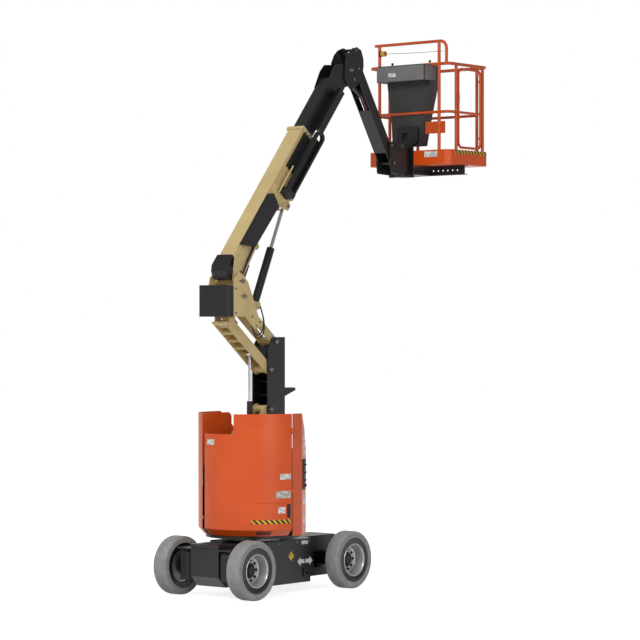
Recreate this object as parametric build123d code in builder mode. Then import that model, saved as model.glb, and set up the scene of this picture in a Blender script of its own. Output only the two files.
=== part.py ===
"""Compact electric articulating boom lift: two-stage tower, telescopic boom, jib and platform.

Millimetres. +X is the way the boom points, +Y is left, +Z is up and the wheels stand on Z = 0.
The origin is the middle of the overall box on the floor. Every side view is drawn relative to
the slew axis, which stands at X = slew_x.
"""
from math import cos, radians, sin
import os

from build123d import *

os.makedirs("parts", exist_ok=True)

# ---------------------------------------------------------------- driving dimensions
# Running gear
wheelbase = 1650
half_track = 521
tyre_r = 317.5
tyre_w = 178
disc_r = 243           # outer edge of the black wheel disc
rim_r = 181            # silver rim barrel
rear_axle_x = -640     # from the slew axis
front_axle_x = rear_axle_x + wheelbase
kingpin_y = 372

# Chassis
ground_gap = 100
deck_z = 575
frame_half_w = 345
tail_rear_x = -800
tail_half_w = 200
frame_front_x = 560
front_beam_w = 120
front_beam_h = 150
lugs = (("rear", -250), ("front", 480))
lug_z = ground_gap + 105
lug_hole_r = 20
lug_t = 16
nose_half_w = 185
nose_front_x = 1190

# Turntable
hood_r = 600
hood_wall = 4
hood_z0 = 655
hood_z1 = 1965
notch_z = 1750         # floor of the rear notch that the counterweight parks in
notch_y = 205
notch_left_y = 215     # past the end of the right hood
slot_y = 262           # inner edge of the left hood
hinge_x = -55
hinge_y = hood_r + 9   # hinge line of each hood, just outside its wall
hinge_zs = (1134, 1779)
hinge_pin_r = 5
hinge_h = 60
hinge_lug_t = 10
seat_gap = 0.3         # between curved or sliding faces at rest
tower_plate_y = 132    # middle of each turntable side plate
tower_plate_t = 20

# Two-stage tower, equal arms
arm_len = 797
arm_deg = 38.4         # lower arm forward of the turntable, upper arm back again
arm_half_w = 90
arm_depth = 120
arm_wall = 10
link_depth = 100
mid_x = 157            # pin of the lower and upper arm on the mid upright
mid_low_z = 1997
mid_high_z = 2432
link_dx = 94           # link pins lie forward of the arm pins
link_dz = 303          # and below (lower stage) or above (upper stage) them
mid_half_w = 115
pin_r = 25
pin_gap = 0.05

# Upright and main boom
upright_half_w = 184
upright_t = 12
wall_rear_x = -529
counterweight_len = 90
hanger_half_w = 107
boom_x = -401
boom_z = 3391
boom_deg = 50.7
base_len = 2060        # pivot to collar
base_top = 212         # boom top above the pivot line
base_depth = 226
base_half_w = 100
fly_reach = 3130       # pivot to knuckle pivot as it stands
fly_half_w = 80
fly_depth = 176
fly_side_gap = 6       # between the fly and the base boom's walls, filled by pads at the mouth
fly_top_gap = 13

# Jib, rotator and platform
jib_len = 1240
jib_deg = -57.5
jib_half_w = 95
jib_depth = 84
jib_link_depth = 56
jib_x = 1715
jib_z = 5840
link_rise = 208        # jib link pins above the jib arm pins
link_back = 45         # and behind them, so that the bars never cross
rotor_x = 2660
rotor_r = 70
deck_rear_x = 2790
deck_front_x = 3590
deck_half_w = 600
deck_low_z = 4790
rail_z = 5960
hoop_z = 6225
tube_r = 19
mid_tube_r = 17
hoop_tube_r = 18
toe_h = 170
toe_t = 4
corner_r = 80
floor_t = 12
mid_rail_z = 5400
gate_x0 = 2960
gate_x1 = deck_front_x - corner_r - tube_r - 5
console_y = 20
beam_low_z = 4680
beam_x = 3150
beam_half_w = 560

box_rear_x = rear_axle_x - tyre_r
box_front_x = deck_front_x
slew_x = -(box_rear_x + box_front_x) / 2


# ---------------------------------------------------------------- shared helpers
def side(y=0):
    """Plane of a side view at Y = y: local x is +X from the slew axis, local y is +Z."""
    return Plane(origin=(slew_x, y, 0), x_dir=(1, 0, 0), z_dir=(0, -1, 0))


def level(z=0):
    """Horizontal plane at height z: local x is +X from the slew axis, local y is +Y."""
    return Plane(origin=(slew_x, 0, z), x_dir=(1, 0, 0), z_dir=(0, 0, 1))


def facing(x=0):
    """Plane across the machine at X = x: local x is +Y, local y is +Z."""
    return Plane(origin=(slew_x + x, 0, 0), x_dir=(0, 1, 0), z_dir=(1, 0, 0))


def along(start, deg, reach, rise=0):
    """Point at reach along a direction and rise to its left, in the side view."""
    a = radians(deg)
    return (start[0] + reach * cos(a) - rise * sin(a), start[1] + reach * sin(a) + rise * cos(a))


def tilted(start, deg, y=0):
    """Side-view plane turned so that local x runs along an arm from its pin."""
    a = radians(deg)
    return Plane(origin=(slew_x + start[0], y, start[1]), x_dir=(cos(a), 0, sin(a)), z_dir=(0, -1, 0))


def end_on(start, deg, reach=0):
    """Plane square to an arm at reach from its pin: local x is +Y, local y is the arm's up."""
    a = radians(deg)
    x, z = along(start, deg, reach)
    return Plane(origin=(slew_x + x, 0, z), x_dir=(0, 1, 0), z_dir=(cos(a), 0, sin(a)))


def cross_tube(at, radius, half_w, hole=0):
    """Tube or bar across the machine about the point at."""
    with BuildSketch(side()) as disc:
        with Locations(at):
            Circle(radius)
            if hole:
                Circle(hole, mode=Mode.SUBTRACT)
    extrude(disc.sketch, amount=half_w, both=True)


def cross_cut(at, radius, half_w):
    """Round hole across the machine about the point at."""
    with BuildSketch(side()) as disc:
        with Locations(at):
            Circle(radius)
    extrude(disc.sketch, amount=half_w, both=True, mode=Mode.SUBTRACT)


def stubs(at, radius, y_in, y_out):
    """A pair of pins, one each side, from y_in to y_out."""
    for sign in (-1, 1):
        with BuildSketch(side(sign * y_in)) as disc:
            with Locations(at):
                Circle(radius)
        extrude(disc.sketch, amount=-sign * (y_out - y_in))


def side_plates(points, half_w, thick, radius=0):
    """A pair of plates with the same side-view outline, outer faces at half_w."""
    for y in (half_w, thick - half_w):
        with BuildSketch(side(y)) as outline:
            with BuildLine():
                Polyline(*points, close=True)
            make_face()
            if radius:
                fillet(outline.vertices(), radius)
        extrude(outline.sketch, amount=thick)


def bar_plates(start, deg, length, depth, half_w, thick):
    """A pair of round-ended plates between two pins."""
    for y in (half_w, thick - half_w):
        with BuildSketch(tilted(start, deg, y)) as bar:
            with Locations((length / 2, 0)):
                SlotCenterToCenter(length, depth)
        extrude(bar.sketch, amount=thick)


def save(piece, name):
    """Label a finished piece and write it out."""
    piece.part.label = name
    export_step(piece.part, f"parts/{name}.step")


# Pins of the tower, worked out from the arms
low_arm_top = (mid_x, mid_low_z)
low_link_top = (mid_x + link_dx, mid_low_z - link_dz)
high_arm_foot = (mid_x, mid_high_z)
high_link_foot = (mid_x + link_dx, mid_high_z + link_dz)
low_arm_foot = along(low_arm_top, arm_deg, -arm_len)
low_link_foot = along(low_link_top, arm_deg, -arm_len)
high_arm_top = along(high_arm_foot, 180 - arm_deg, arm_len)
high_link_top = along(high_link_foot, 180 - arm_deg, arm_len)
boom_pin = (boom_x, boom_z)
knuckle_pin = along(boom_pin, boom_deg, fly_reach)
jib_pin = (jib_x, jib_z)
jib_end = along(jib_pin, jib_deg, jib_len)
jib_link_pin = (jib_x - link_back, jib_z + link_rise)
jib_lift_pin = (jib_x - 80, jib_z - 127)
jib_lift_eye = along(jib_pin, jib_deg, 360, 0)
jib_link_end = along(jib_link_pin, jib_deg, jib_len)

# ---------------------------------------------------------------- chassis
with BuildPart() as chassis_frame:
    # tail box between the drive units, main box, and the nose between the steered wheels
    # columns: rear x, front x, half width, floor
    frame_boxes = (
        (tail_rear_x, -320, tail_half_w, ground_gap + 20),
        (-320, frame_front_x, frame_half_w, ground_gap),
        (frame_front_x, nose_front_x, nose_half_w, ground_gap + 30),
    )
    for x0, x1, half_w, floor in frame_boxes:
        with BuildSketch(level(floor)):
            with Locations(((x0 + x1) / 2, 0)):
                Rectangle(x1 - x0, 2 * half_w)
        extrude(amount=deck_z - floor)
    # gussets that lead the main box into the nose
    with BuildSketch(level(ground_gap + 30)):
        with BuildLine():
            Polyline((frame_front_x - 1, -frame_half_w), (frame_front_x + 110, -nose_half_w),
                     (frame_front_x + 110, nose_half_w), (frame_front_x - 1, frame_half_w), close=True)
        make_face()
    extrude(amount=deck_z - ground_gap - 30)
    # tail cover plate over the drive motors
    with BuildSketch(level(deck_z - 60)):
        with Locations(((tail_rear_x - 340) / 2, 0)):
            Rectangle(-320 - tail_rear_x, 2 * 385)
    extrude(amount=16)
    # raked underside at the tail and nose
    for x0, way, run, floor in ((tail_rear_x, -1, 110, ground_gap + 20), (nose_front_x, 1, 150, ground_gap + 30)):
        with BuildSketch(side()):
            with BuildLine():
                Polyline((x0 - way * run, floor), (x0, floor + 110), (x0, floor), close=True)
            make_face()
        extrude(amount=frame_half_w, both=True, mode=Mode.SUBTRACT)
    # hollow from below between the axles
    with BuildSketch(level(ground_gap)):
        with Locations((-20, 0)):
            Rectangle(480, 2 * frame_half_w - 60)
    extrude(amount=120, mode=Mode.SUBTRACT)
    # passage for the front axle, and the open bay behind it for the steering gear
    with BuildSketch(side()):
        with Locations((front_axle_x, tyre_r)):
            Rectangle(front_beam_w, front_beam_h)
        with Locations((front_axle_x - front_beam_w / 2 - 65, tyre_r - 10)):
            Rectangle(130, 170)
    extrude(amount=frame_half_w, both=True, mode=Mode.SUBTRACT)
    # pedestal under the swing bearing
    with BuildSketch(level(deck_z)):
        Circle(330)
    extrude(amount=15)
save(chassis_frame, "chassis_frame")

# tie-down lugs, two each side, welded to the main box
# columns: name, x
for end_name, x in lugs:
    for side_name, sign in (("left", 1), ("right", -1)):
        with BuildPart() as lug:
            with BuildSketch(side(sign * frame_half_w)):
                with Locations((x, lug_z)):
                    RectangleRounded(90, 90, 20)
                    Circle(lug_hole_r, mode=Mode.SUBTRACT)
            extrude(amount=-sign * lug_t)
        save(lug, f"tie_down_{end_name}_{side_name}")

with BuildPart() as swing_bearing:
    with BuildSketch(level(deck_z + 15)):
        Circle(330)
        Circle(250, mode=Mode.SUBTRACT)
    extrude(amount=30)
    # gear teeth of the outer race
    with BuildSketch(level(deck_z + 18)):
        with PolarLocations(330, 60):
            Rectangle(14, 15)
    extrude(amount=24)
save(swing_bearing, "swing_bearing")

with BuildPart() as rear_axle:
    # a drive unit bolted to each side of the tail box
    for sign in (-1, 1):
        with BuildSketch(side(sign * tail_half_w)):
            with Locations((rear_axle_x - 20, tyre_r)):
                Rectangle(230, 250)
        extrude(amount=-sign * 20)
        with BuildSketch(side(sign * (tail_half_w + 20))):
            with Locations((rear_axle_x, tyre_r)):
                Circle(105)
        extrude(amount=-sign * (390 - tail_half_w - 20))
        with BuildSketch(side(sign * 389)):
            with Locations((rear_axle_x, tyre_r)):
                Circle(28)
        extrude(amount=-sign * 120)
        # upright drive motor behind each hub
        with BuildSketch(level(tyre_r - 130)):
            with Locations((rear_axle_x - 105, sign * 290)):
                RectangleRounded(110, 140, 20)
        extrude(amount=300)
save(rear_axle, "rear_axle")

with BuildPart() as front_axle:
    with BuildSketch(side()):
        with Locations((front_axle_x, tyre_r)):
            Rectangle(front_beam_w, front_beam_h)
    extrude(amount=kingpin_y - 125, both=True)
    # forks above and below each kingpin leave room for the steering arm
    for sign in (-1, 1):
        for z in (tyre_r - 75, tyre_r + 45):
            with BuildSketch(level(z)):
                with Locations((front_axle_x, sign * (kingpin_y - 60))):
                    Rectangle(100, 160)
                with Locations((front_axle_x, sign * kingpin_y)):
                    Circle(42)
                    Circle(20, mode=Mode.SUBTRACT)
            extrude(amount=30)
        # kingpin
        with BuildSketch(level(tyre_r - 78)):
            with Locations((front_axle_x, sign * kingpin_y)):
                Circle(20)
        extrude(amount=156)
    # steering cylinder along the rear face
    with BuildSketch(side()):
        with Locations((front_axle_x - 84, tyre_r + 30)):
            Circle(28)
    extrude(amount=150, both=True)
save(front_axle, "front_axle")

steer_arm = 150
steer_arm_low = -42     # underside of each steering arm, from the wheel's middle
for name, sign in (("left", 1), ("right", -1)):
    with BuildPart() as knuckle:
        with BuildSketch(level(tyre_r - 44)):
            with Locations((front_axle_x, sign * kingpin_y)):
                Circle(40)
                Circle(20 + pin_gap, mode=Mode.SUBTRACT)
        extrude(amount=88)
        with BuildSketch(side(sign * (kingpin_y + 38))):
            with Locations((front_axle_x, tyre_r)):
                Circle(40)
        extrude(amount=-sign * 30)
        with BuildSketch(side(sign * (kingpin_y + 60))):
            with Locations((front_axle_x, tyre_r)):
                Circle(28)
        extrude(amount=-sign * 77)
        with BuildSketch(level(tyre_r + steer_arm_low)):
            with BuildLine():
                Polyline((front_axle_x - 20, sign * (kingpin_y - 36)), (front_axle_x - 20, sign * (kingpin_y - 6)),
                         (front_axle_x - steer_arm, sign * (kingpin_y - 8)),
                         (front_axle_x - steer_arm, sign * (kingpin_y - 46)), close=True)
            make_face()
        extrude(amount=20)
    save(knuckle, f"steer_knuckle_{name}")

with BuildPart() as tie_rod:
    with BuildSketch(side()):
        with Locations((front_axle_x - steer_arm + 5, tyre_r - 60)):
            Circle(13)
    extrude(amount=kingpin_y - 28, both=True)
    for sign in (-1, 1):
        with BuildSketch(level(tyre_r - 75)):
            with Locations((front_axle_x - steer_arm + 5, sign * (kingpin_y - 28))):
                Circle(22)
        extrude(amount=steer_arm_low + 75 - seat_gap)
save(tie_rod, "tie_rod")

# ---------------------------------------------------------------- wheels
# columns: name, axle x, side
wheels = (
    ("front_left", front_axle_x, 1),
    ("front_right", front_axle_x, -1),
    ("rear_left", rear_axle_x, 1),
    ("rear_right", rear_axle_x, -1),
)
hub_bore = 28 + pin_gap
for name, x, sign in wheels:
    # axial positions run from the wheel's middle, positive outward
    wheel_plane = Plane(origin=(slew_x + x, sign * half_track, tyre_r), x_dir=(1, 0, 0), z_dir=(0, sign, 0))
    section = Plane(origin=wheel_plane.origin, x_dir=wheel_plane.z_dir, z_dir=wheel_plane.x_dir)
    half = tyre_w / 2
    with BuildPart() as tyre:
        with BuildSketch(section) as profile:
            with BuildLine():
                Polyline((-half, -(disc_r + 1)), (half, -(disc_r + 1)), (half, -(tyre_r - 22)),
                         (half - 30, -tyre_r), (30 - half, -tyre_r), (-half, -(tyre_r - 22)), close=True)
            make_face()
        revolve(axis=Axis(wheel_plane.origin, wheel_plane.z_dir))
    save(tyre, f"tyre_{name}")
    with BuildPart() as rim:
        with BuildSketch(section):
            with BuildLine():
                Polyline((-half + 12, -disc_r - 1), (half - 8, -disc_r - 1), (half - 8, -rim_r - 4),
                         (half - 2, -rim_r), (half - 2, -rim_r + 8), (-30, -rim_r + 30), (-30, -78),
                         (-6, -70), (-6, -hub_bore), (-half + 22, -hub_bore), (-half + 22, -80),
                         (-half + 30, -rim_r), (-half + 12, -rim_r - 20), close=True)
            make_face()
        revolve(axis=Axis(wheel_plane.origin, wheel_plane.z_dir))
    save(rim, f"rim_{name}")

# ---------------------------------------------------------------- turntable
plate_z = deck_z + 45
with BuildPart() as turntable_base:
    with BuildSketch(level(plate_z)):
        Circle(520)
    extrude(amount=30)
    base_top_z = plate_z + 30
    # side plates that carry the lower arm and link
    for sign in (-1, 1):
        with BuildSketch(side(sign * tower_plate_y)) as tower_plate:
            with BuildLine():
                Polyline((-500, base_top_z), (80, base_top_z), (-250, 1330), (-400, 1560), (-520, 1560), (-520, 760),
                         (-500, 740), close=True)
            make_face()
            fillet(tower_plate.vertices().sort_by(Axis.Z)[2:], 30)
        extrude(amount=tower_plate_t / 2, both=True)
    for at in (low_arm_foot, low_link_foot):
        cross_tube(at, pin_r, tower_plate_y + 22)
    # cross wall between the plates, low and ahead of the links
    with BuildSketch(facing(-500)):
        with Locations((0, base_top_z + 120)):
            Rectangle(2 * tower_plate_y, 240)
    extrude(amount=15)
save(turntable_base, "turntable_base")

# batteries and motor lie in two plain blocks, one each side of the tower
with BuildPart() as power_pack:
    for sign in (-1, 1):
        with BuildSketch(level(base_top_z)):
            with Locations((-60, sign * 345)):
                Rectangle(600, 270)
        extrude(amount=620)
    with BuildSketch(level(base_top_z)):
        Circle(528)
    extrude(amount=620, mode=Mode.INTERSECT)
save(power_pack, "power_pack")


def hinge_loops(sign):
    """Loops of one hood round its hinge pins, with the leaves that join them to its wall."""
    loop_h = hinge_h - 2 * (hinge_lug_t + 1)
    for z in hinge_zs:
        with BuildSketch(level(z - loop_h / 2)) as loop:
            with Locations((hinge_x, sign * hinge_y)):
                Circle(hinge_pin_r + 5)
            with Locations((hinge_x - 14, sign * (hinge_y - 8))):
                Rectangle(22, 12)
            with Locations((hinge_x, sign * hinge_y)):
                Circle(hinge_pin_r + pin_gap, mode=Mode.SUBTRACT)
        extrude(loop.sketch, amount=loop_h)


def shell_sector(from_deg, to_deg):
    """Curved hood wall between two bearings, with the chamfer along its foot."""
    span = to_deg - from_deg
    with BuildSketch(Plane(origin=(slew_x, 0, 0), x_dir=(cos(radians(from_deg)), sin(radians(from_deg)), 0),
                           z_dir=(sin(radians(from_deg)), -cos(radians(from_deg)), 0))) as wall:
        with BuildLine():
            Polyline((hood_r - 60, hood_z0), (hood_r, hood_z0 + 70), (hood_r, hood_z1),
                     (hood_r - hood_wall, hood_z1), (hood_r - hood_wall, hood_z0 + 72),
                     (hood_r - 60 - hood_wall, hood_z0), close=True)
        make_face()
    revolve(wall.sketch, axis=Axis((slew_x, 0, 0), (0, 0, 1)), revolution_arc=span)


# bearings of the panel edges, seen from above, 180 is straight back
right_hinge_deg = -95.0
rear_gap_deg = 159.5
left_edge_deg = 154.0
panel_gap_deg = 0.6
with BuildPart() as hood_right:
    shell_sector(rear_gap_deg, 360 + right_hinge_deg - panel_gap_deg)
    with BuildSketch(facing(-hood_r)):
        with Locations(((notch_left_y - notch_y) / 2, hood_z1 + 100)):
            Rectangle(notch_left_y + notch_y, 2 * (hood_z1 + 100 - notch_z))
    extrude(amount=300, mode=Mode.SUBTRACT)
    hinge_loops(-1)
save(hood_right, "hood_right")

with BuildPart() as hood_left:
    shell_sector(-right_hinge_deg + panel_gap_deg, left_edge_deg)
    # inner wall beside the tower, joined to the shell's rear edge
    with BuildSketch(side(slot_y + 4)) as inner_wall:
        with BuildLine():
            Polyline((-538, 1400), (-60, 1400), (-60, hood_z1), (-538, hood_z1), close=True)
        make_face()
        fillet(inner_wall.vertices().group_by(Axis.X)[-1], 60)
    extrude(amount=4)
    hinge_loops(1)
save(hood_left, "hood_left")

# fixed front corners, with the flat facet that carries the ground controls
for name, sign in (("right", -1), ("left", 1)):
    with BuildPart() as corner:
        with BuildSketch(level(base_top_z)) as plan:
            with BuildLine():
                Polyline((-50, sign * hood_r), (120, sign * 588), (330, sign * 470), (330, sign * 250),
                         (330 - hood_wall, sign * 250), (330 - hood_wall, sign * 468),
                         (119, sign * 584), (-50, sign * (hood_r - hood_wall)), close=True)
            make_face()
        extrude(amount=hood_z1 - base_top_z)
        # sloped top of the facet
        with BuildSketch(side(sign * 400)):
            with BuildLine():
                Polyline((120, hood_z1 + 1), (400, hood_z1 + 1), (400, 1560), (330, 1560), (250, 1800), close=True)
            make_face()
        extrude(amount=300, both=True, mode=Mode.SUBTRACT)
        # hinge pins of the hood, each held between two lugs
        for z in hinge_zs:
            with BuildSketch(level(z - hinge_h / 2)):
                with Locations((hinge_x, sign * hinge_y)):
                    Circle(hinge_pin_r)
            extrude(amount=hinge_h)
            for lug_low in (z - hinge_h / 2, z + hinge_h / 2 - hinge_lug_t):
                with BuildSketch(level(lug_low)):
                    with Locations((hinge_x + 14, sign * (hinge_y - 2))):
                        Rectangle(40, 18)
                extrude(amount=hinge_lug_t)
    save(corner, f"side_panel_{name}")

# ---------------------------------------------------------------- tower
with BuildPart() as lower_arm:
    bar_plates(low_arm_foot, arm_deg, arm_len, arm_depth, arm_half_w, arm_wall)
    for at in (low_arm_foot, low_arm_top):
        cross_tube(at, 42, arm_half_w)
    # top web over the foot half only: the tower cylinder passes through the open half
    with BuildSketch(tilted(low_arm_foot, arm_deg)):
        with Locations((130, arm_depth / 2 - 8)):
            Rectangle(170, 12)
    extrude(amount=arm_half_w - 1, both=True)
    for at in (low_arm_foot, low_arm_top):
        cross_cut(at, pin_r + pin_gap, arm_half_w)
save(lower_arm, "lower_arm")

with BuildPart() as lower_link:
    bar_plates(low_link_foot, arm_deg, arm_len, 80, arm_half_w, arm_wall)
    for at in (low_link_foot, low_link_top):
        cross_tube(at, 36, arm_half_w)
    for at in (low_link_foot, low_link_top):
        cross_cut(at, pin_r + pin_gap, arm_half_w)
save(lower_link, "lower_link")

mid_rear_x = 112
mid_front_x = 400
mid_top_z = 2785
mid_foot_z = 1620
tower_pin = (-60, mid_foot_z + 65)
tower_rod_eye = along(high_arm_foot, 180 - arm_deg, 277)
with BuildPart() as mid_upright:
    side_plates(((mid_rear_x, mid_foot_z), (mid_front_x, mid_foot_z), (mid_front_x, mid_top_z),
                 (mid_rear_x + 88, mid_top_z), (mid_rear_x, mid_top_z - 120)), mid_half_w, 15)
    # front wall and the shelf that reaches back under the tower cylinder
    with BuildSketch(facing(mid_front_x - 15)):
        with Locations((0, (mid_top_z + mid_foot_z) / 2)):
            Rectangle(2 * mid_half_w - 2, mid_top_z - mid_foot_z)
        # open at the top, so that the lift cylinder lies down between the plates
        with Locations((0, mid_top_z)):
            Rectangle(120, 2 * (mid_top_z - 2560), mode=Mode.SUBTRACT)
    extrude(amount=15)
    with BuildSketch(level(mid_foot_z)):
        with Locations(((mid_front_x - 110) / 2, 0)):
            Rectangle(mid_front_x + 110, 110)
    extrude(amount=20)
    for y in (50, -36):
        with BuildSketch(side(y)):
            with Locations((tower_pin[0], mid_foot_z + 55)):
                RectangleRounded(96, 108, 30)
        extrude(amount=14)
    cross_tube(tower_pin, 18, 52)
    # cross plates between the two stages
    for z in (2140, 2290):
        with BuildSketch(level(z)):
            with Locations((mid_front_x - 90, 0)):
                Rectangle(180, 2 * mid_half_w - 2)
        extrude(amount=12)
    for at in (low_arm_top, low_link_top, high_arm_foot, high_link_foot):
        cross_tube(at, pin_r, mid_half_w + 12)
    # hose bracket on the front wall
    with BuildSketch(side()):
        with BuildLine():
            Polyline((mid_front_x, 2110), (650, 2195), (640, 2225), (mid_front_x, 2225), close=True)
        make_face()
    extrude(amount=60, both=True)
save(mid_upright, "mid_upright")

with BuildPart() as upper_arm:
    bar_plates(high_arm_foot, 180 - arm_deg, arm_len, arm_depth, arm_half_w, arm_wall)
    # the lower edge runs on past the top pin
    tail_reach = 110
    for y in (arm_half_w, arm_wall - arm_half_w):
        with BuildSketch(tilted(high_arm_foot, 180 - arm_deg, y)):
            with BuildLine():
                Polyline((arm_len - 20, arm_depth / 2), (arm_len + tail_reach, arm_depth / 2),
                         (arm_len + tail_reach - 50, 8), (arm_len - 20, 8), close=True)
            make_face()
        extrude(amount=arm_wall)
    # top web; the underside stays open, with slanting ribs
    with BuildSketch(tilted(high_arm_foot, 180 - arm_deg)):
        with Locations((arm_len / 2, 6 - arm_depth / 2)):
            Rectangle(arm_len - 110, 12)
    extrude(amount=arm_half_w - 1, both=True)
    for reach in (430, 560, 690, 850):
        with BuildSketch(tilted(high_arm_foot, 180 - arm_deg)):
            with Locations((reach, 30)):
                Rectangle(12, arm_depth - 64)
        extrude(amount=arm_half_w - 1, both=True)
    for at in (high_arm_foot, high_arm_top):
        cross_tube(at, 42, arm_half_w)
    stubs(tower_rod_eye, 24, 26, arm_half_w - 1)
    for at in (high_arm_foot, high_arm_top):
        cross_cut(at, pin_r + pin_gap, arm_half_w)
save(upper_arm, "upper_arm")

with BuildPart() as upper_link:
    bar_plates(high_link_foot, 180 - arm_deg, arm_len, link_depth, arm_half_w, arm_wall)
    for at in (high_link_foot, high_link_top):
        cross_tube(at, 38, arm_half_w)
    for at in (high_link_foot, high_link_top):
        cross_cut(at, pin_r + pin_gap, arm_half_w)
save(upper_link, "upper_link")

barrel_top_z = 2088
with BuildPart() as tower_cylinder:
    with BuildSketch(level(tower_pin[1] - 20)):
        with Locations((tower_pin[0], 0)):
            Circle(32)
    extrude(amount=barrel_top_z - tower_pin[1] + 20)
    with BuildSketch(level(tower_pin[1] + 60)):
        with Locations((tower_pin[0], 0)):
            Circle(17)
    extrude(amount=barrel_top_z - tower_pin[1], mode=Mode.SUBTRACT)
    cross_cut(tower_pin, 18 + pin_gap, 40)
save(tower_cylinder, "tower_cylinder")

with BuildPart() as tower_rod:
    rod_foot_z = tower_pin[1] + 287     # leaves the whole closing stroke above the barrel's floor
    with BuildSketch(level(rod_foot_z)):
        with Locations((tower_pin[0], 0)):
            Circle(15.95)
    extrude(amount=tower_rod_eye[1] - rod_foot_z)
    cross_tube(tower_rod_eye, 26, 20)
    # piston that runs in the barrel
    with BuildSketch(level(rod_foot_z)):
        with Locations((tower_pin[0], 0)):
            Circle(16.95)
    extrude(amount=30)
save(tower_rod, "tower_rod")

# ---------------------------------------------------------------- upright and counterweight
lift_pin = (10, 3130)
level_pin = (-267, 3263)
with BuildPart() as upright:
    outline = ((wall_rear_x, 3351), (wall_rear_x, 3007), (-341, 3007), (-200, 2880), (-130, 2880), (-58, 2937),
               (-139, 3028), (-177, 3125), (-260, 3300), (-300, 3385), (-381, 3457), (-439, 3482),
               (-509, 3428))
    side_plates(outline, upright_half_w, upright_t)
    # rear wall and the cross tubes that tie the plates
    with BuildSketch(facing(wall_rear_x)):
        with Locations((0, 3180)):
            Rectangle(2 * upright_half_w - 2, 330)
    extrude(amount=12)
    for at in (high_link_top, boom_pin):
        cross_tube(at, pin_r, upright_half_w + 6)
    # hanger plates behind the rear wall carry the pin of the upper arm
    hanger_x, hanger_z = high_arm_top
    side_plates(((-518, 3060), (-518, hanger_z - 10), (hanger_x - 20, hanger_z - 45), (hanger_x + 45, hanger_z - 20),
                 (hanger_x + 45, 3010), (-440, 3060)), hanger_half_w, upright_t)
    cross_tube(high_arm_top, pin_r, hanger_half_w)
    # inner ears from the rear wall: they pass between the plates of the upper link
    # and carry the lift cylinder and the levelling cylinder
    for y in (62, -48):
        with BuildSketch(side(y)):
            with BuildLine():
                Polyline((-520, 3020), (-300, 3032), (-100, 3066), (45, 3094), (52, 3160), (-40, 3176),
                         (-205, 3186), (-228, 3292), (-300, 3292), (-318, 3174), (-520, 3170), close=True)
            make_face()
        extrude(amount=14)
    cross_tube(lift_pin, 20, 66)
    cross_tube(level_pin, 14, 64)
save(upright, "upright")

with BuildPart() as counterweight:
    with BuildSketch(level(3007)):
        with Locations((wall_rear_x - counterweight_len / 2, 33)):
            RectangleRounded(counterweight_len, 434, 25)
    extrude(amount=340)
save(counterweight, "counterweight")

# ---------------------------------------------------------------- main boom
lift_eye_reach = 1218
lift_eye_rise = -172
lift_eye = along(boom_pin, boom_deg, lift_eye_reach, lift_eye_rise)
level_eye_reach = 550
level_eye_rise = -75
level_eye = along(boom_pin, boom_deg, level_eye_reach, level_eye_rise)
boom_floor = base_top - base_depth
mid_rise = base_top - base_depth / 2
with BuildPart() as base_boom:
    with BuildSketch(end_on(boom_pin, boom_deg, 180)):
        with Locations((0, mid_rise)):
            Rectangle(2 * base_half_w, base_depth)
            Rectangle(2 * (fly_half_w + fly_side_gap), fly_depth + 2 * fly_top_gap, mode=Mode.SUBTRACT)
    extrude(amount=base_len - 180)
    # collar at the mouth
    with BuildSketch(end_on(boom_pin, boom_deg, base_len - 40)):
        with Locations((0, mid_rise)):
            Rectangle(2 * base_half_w + 36, base_depth + 36)
            Rectangle(2 * base_half_w - 2, base_depth - 2, mode=Mode.SUBTRACT)
    extrude(amount=40)
    # wear pads that guide the fly at the mouth
    with BuildSketch(end_on(boom_pin, boom_deg, base_len - 130)):
        with Locations((0, mid_rise)):
            with GridLocations(2 * fly_half_w + fly_side_gap + seat_gap, 100, 2, 2):
                Rectangle(fly_side_gap - seat_gap, 50)
            with GridLocations(90, fly_depth + fly_top_gap + seat_gap, 2, 2):
                Rectangle(50, fly_top_gap - seat_gap)
    extrude(amount=110)
    # tail side plates down to the pivot
    for y in (base_half_w + 10, -base_half_w):
        with BuildSketch(tilted(boom_pin, boom_deg, y)) as tail:
            with BuildLine():
                Polyline((-45, -50), (60, -60), (520, -14), (520, 170), (190, 190), (-45, 60), close=True)
            make_face()
            fillet(tail.vertices(), 18)
        extrude(amount=10)
    cross_tube(boom_pin, 40, base_half_w)
    cross_cut(boom_pin, pin_r + pin_gap, base_half_w + 12)
    # lift ears stand wide so that the rod's eye has room between them
    for y in (72, -56):
        with BuildSketch(tilted(boom_pin, boom_deg, y)):
            with BuildLine():
                Polyline((lift_eye_reach - 110, boom_floor + 2), (lift_eye_reach + 110, boom_floor + 2),
                         (lift_eye_reach + 34, lift_eye_rise - 30), (lift_eye_reach - 34, lift_eye_rise - 30),
                         close=True)
            make_face()
        extrude(amount=16)
    for y in (52, -40):
        with BuildSketch(tilted(boom_pin, boom_deg, y)):
            with BuildLine():
                Polyline((level_eye_reach - 60, boom_floor + 2), (level_eye_reach + 60, boom_floor + 2),
                         (level_eye_reach + 24, level_eye_rise - 24), (level_eye_reach - 24, level_eye_rise - 24),
                         close=True)
            make_face()
        extrude(amount=12)
    # plates that spread the lift cylinder's load into the boom's sides
    for y in (base_half_w + 10, -base_half_w):
        with BuildSketch(tilted(boom_pin, boom_deg, y)) as spreader:
            with BuildLine():
                Polyline((1094, 22), (1295, -165), (1383, -111), (1226, 203), close=True)
            make_face()
            fillet(spreader.vertices(), 14)
        extrude(amount=10)
    stubs(lift_eye, 24, 34, 70)
    stubs(level_eye, 14, 26, 50)
save(base_boom, "base_boom")

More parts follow.
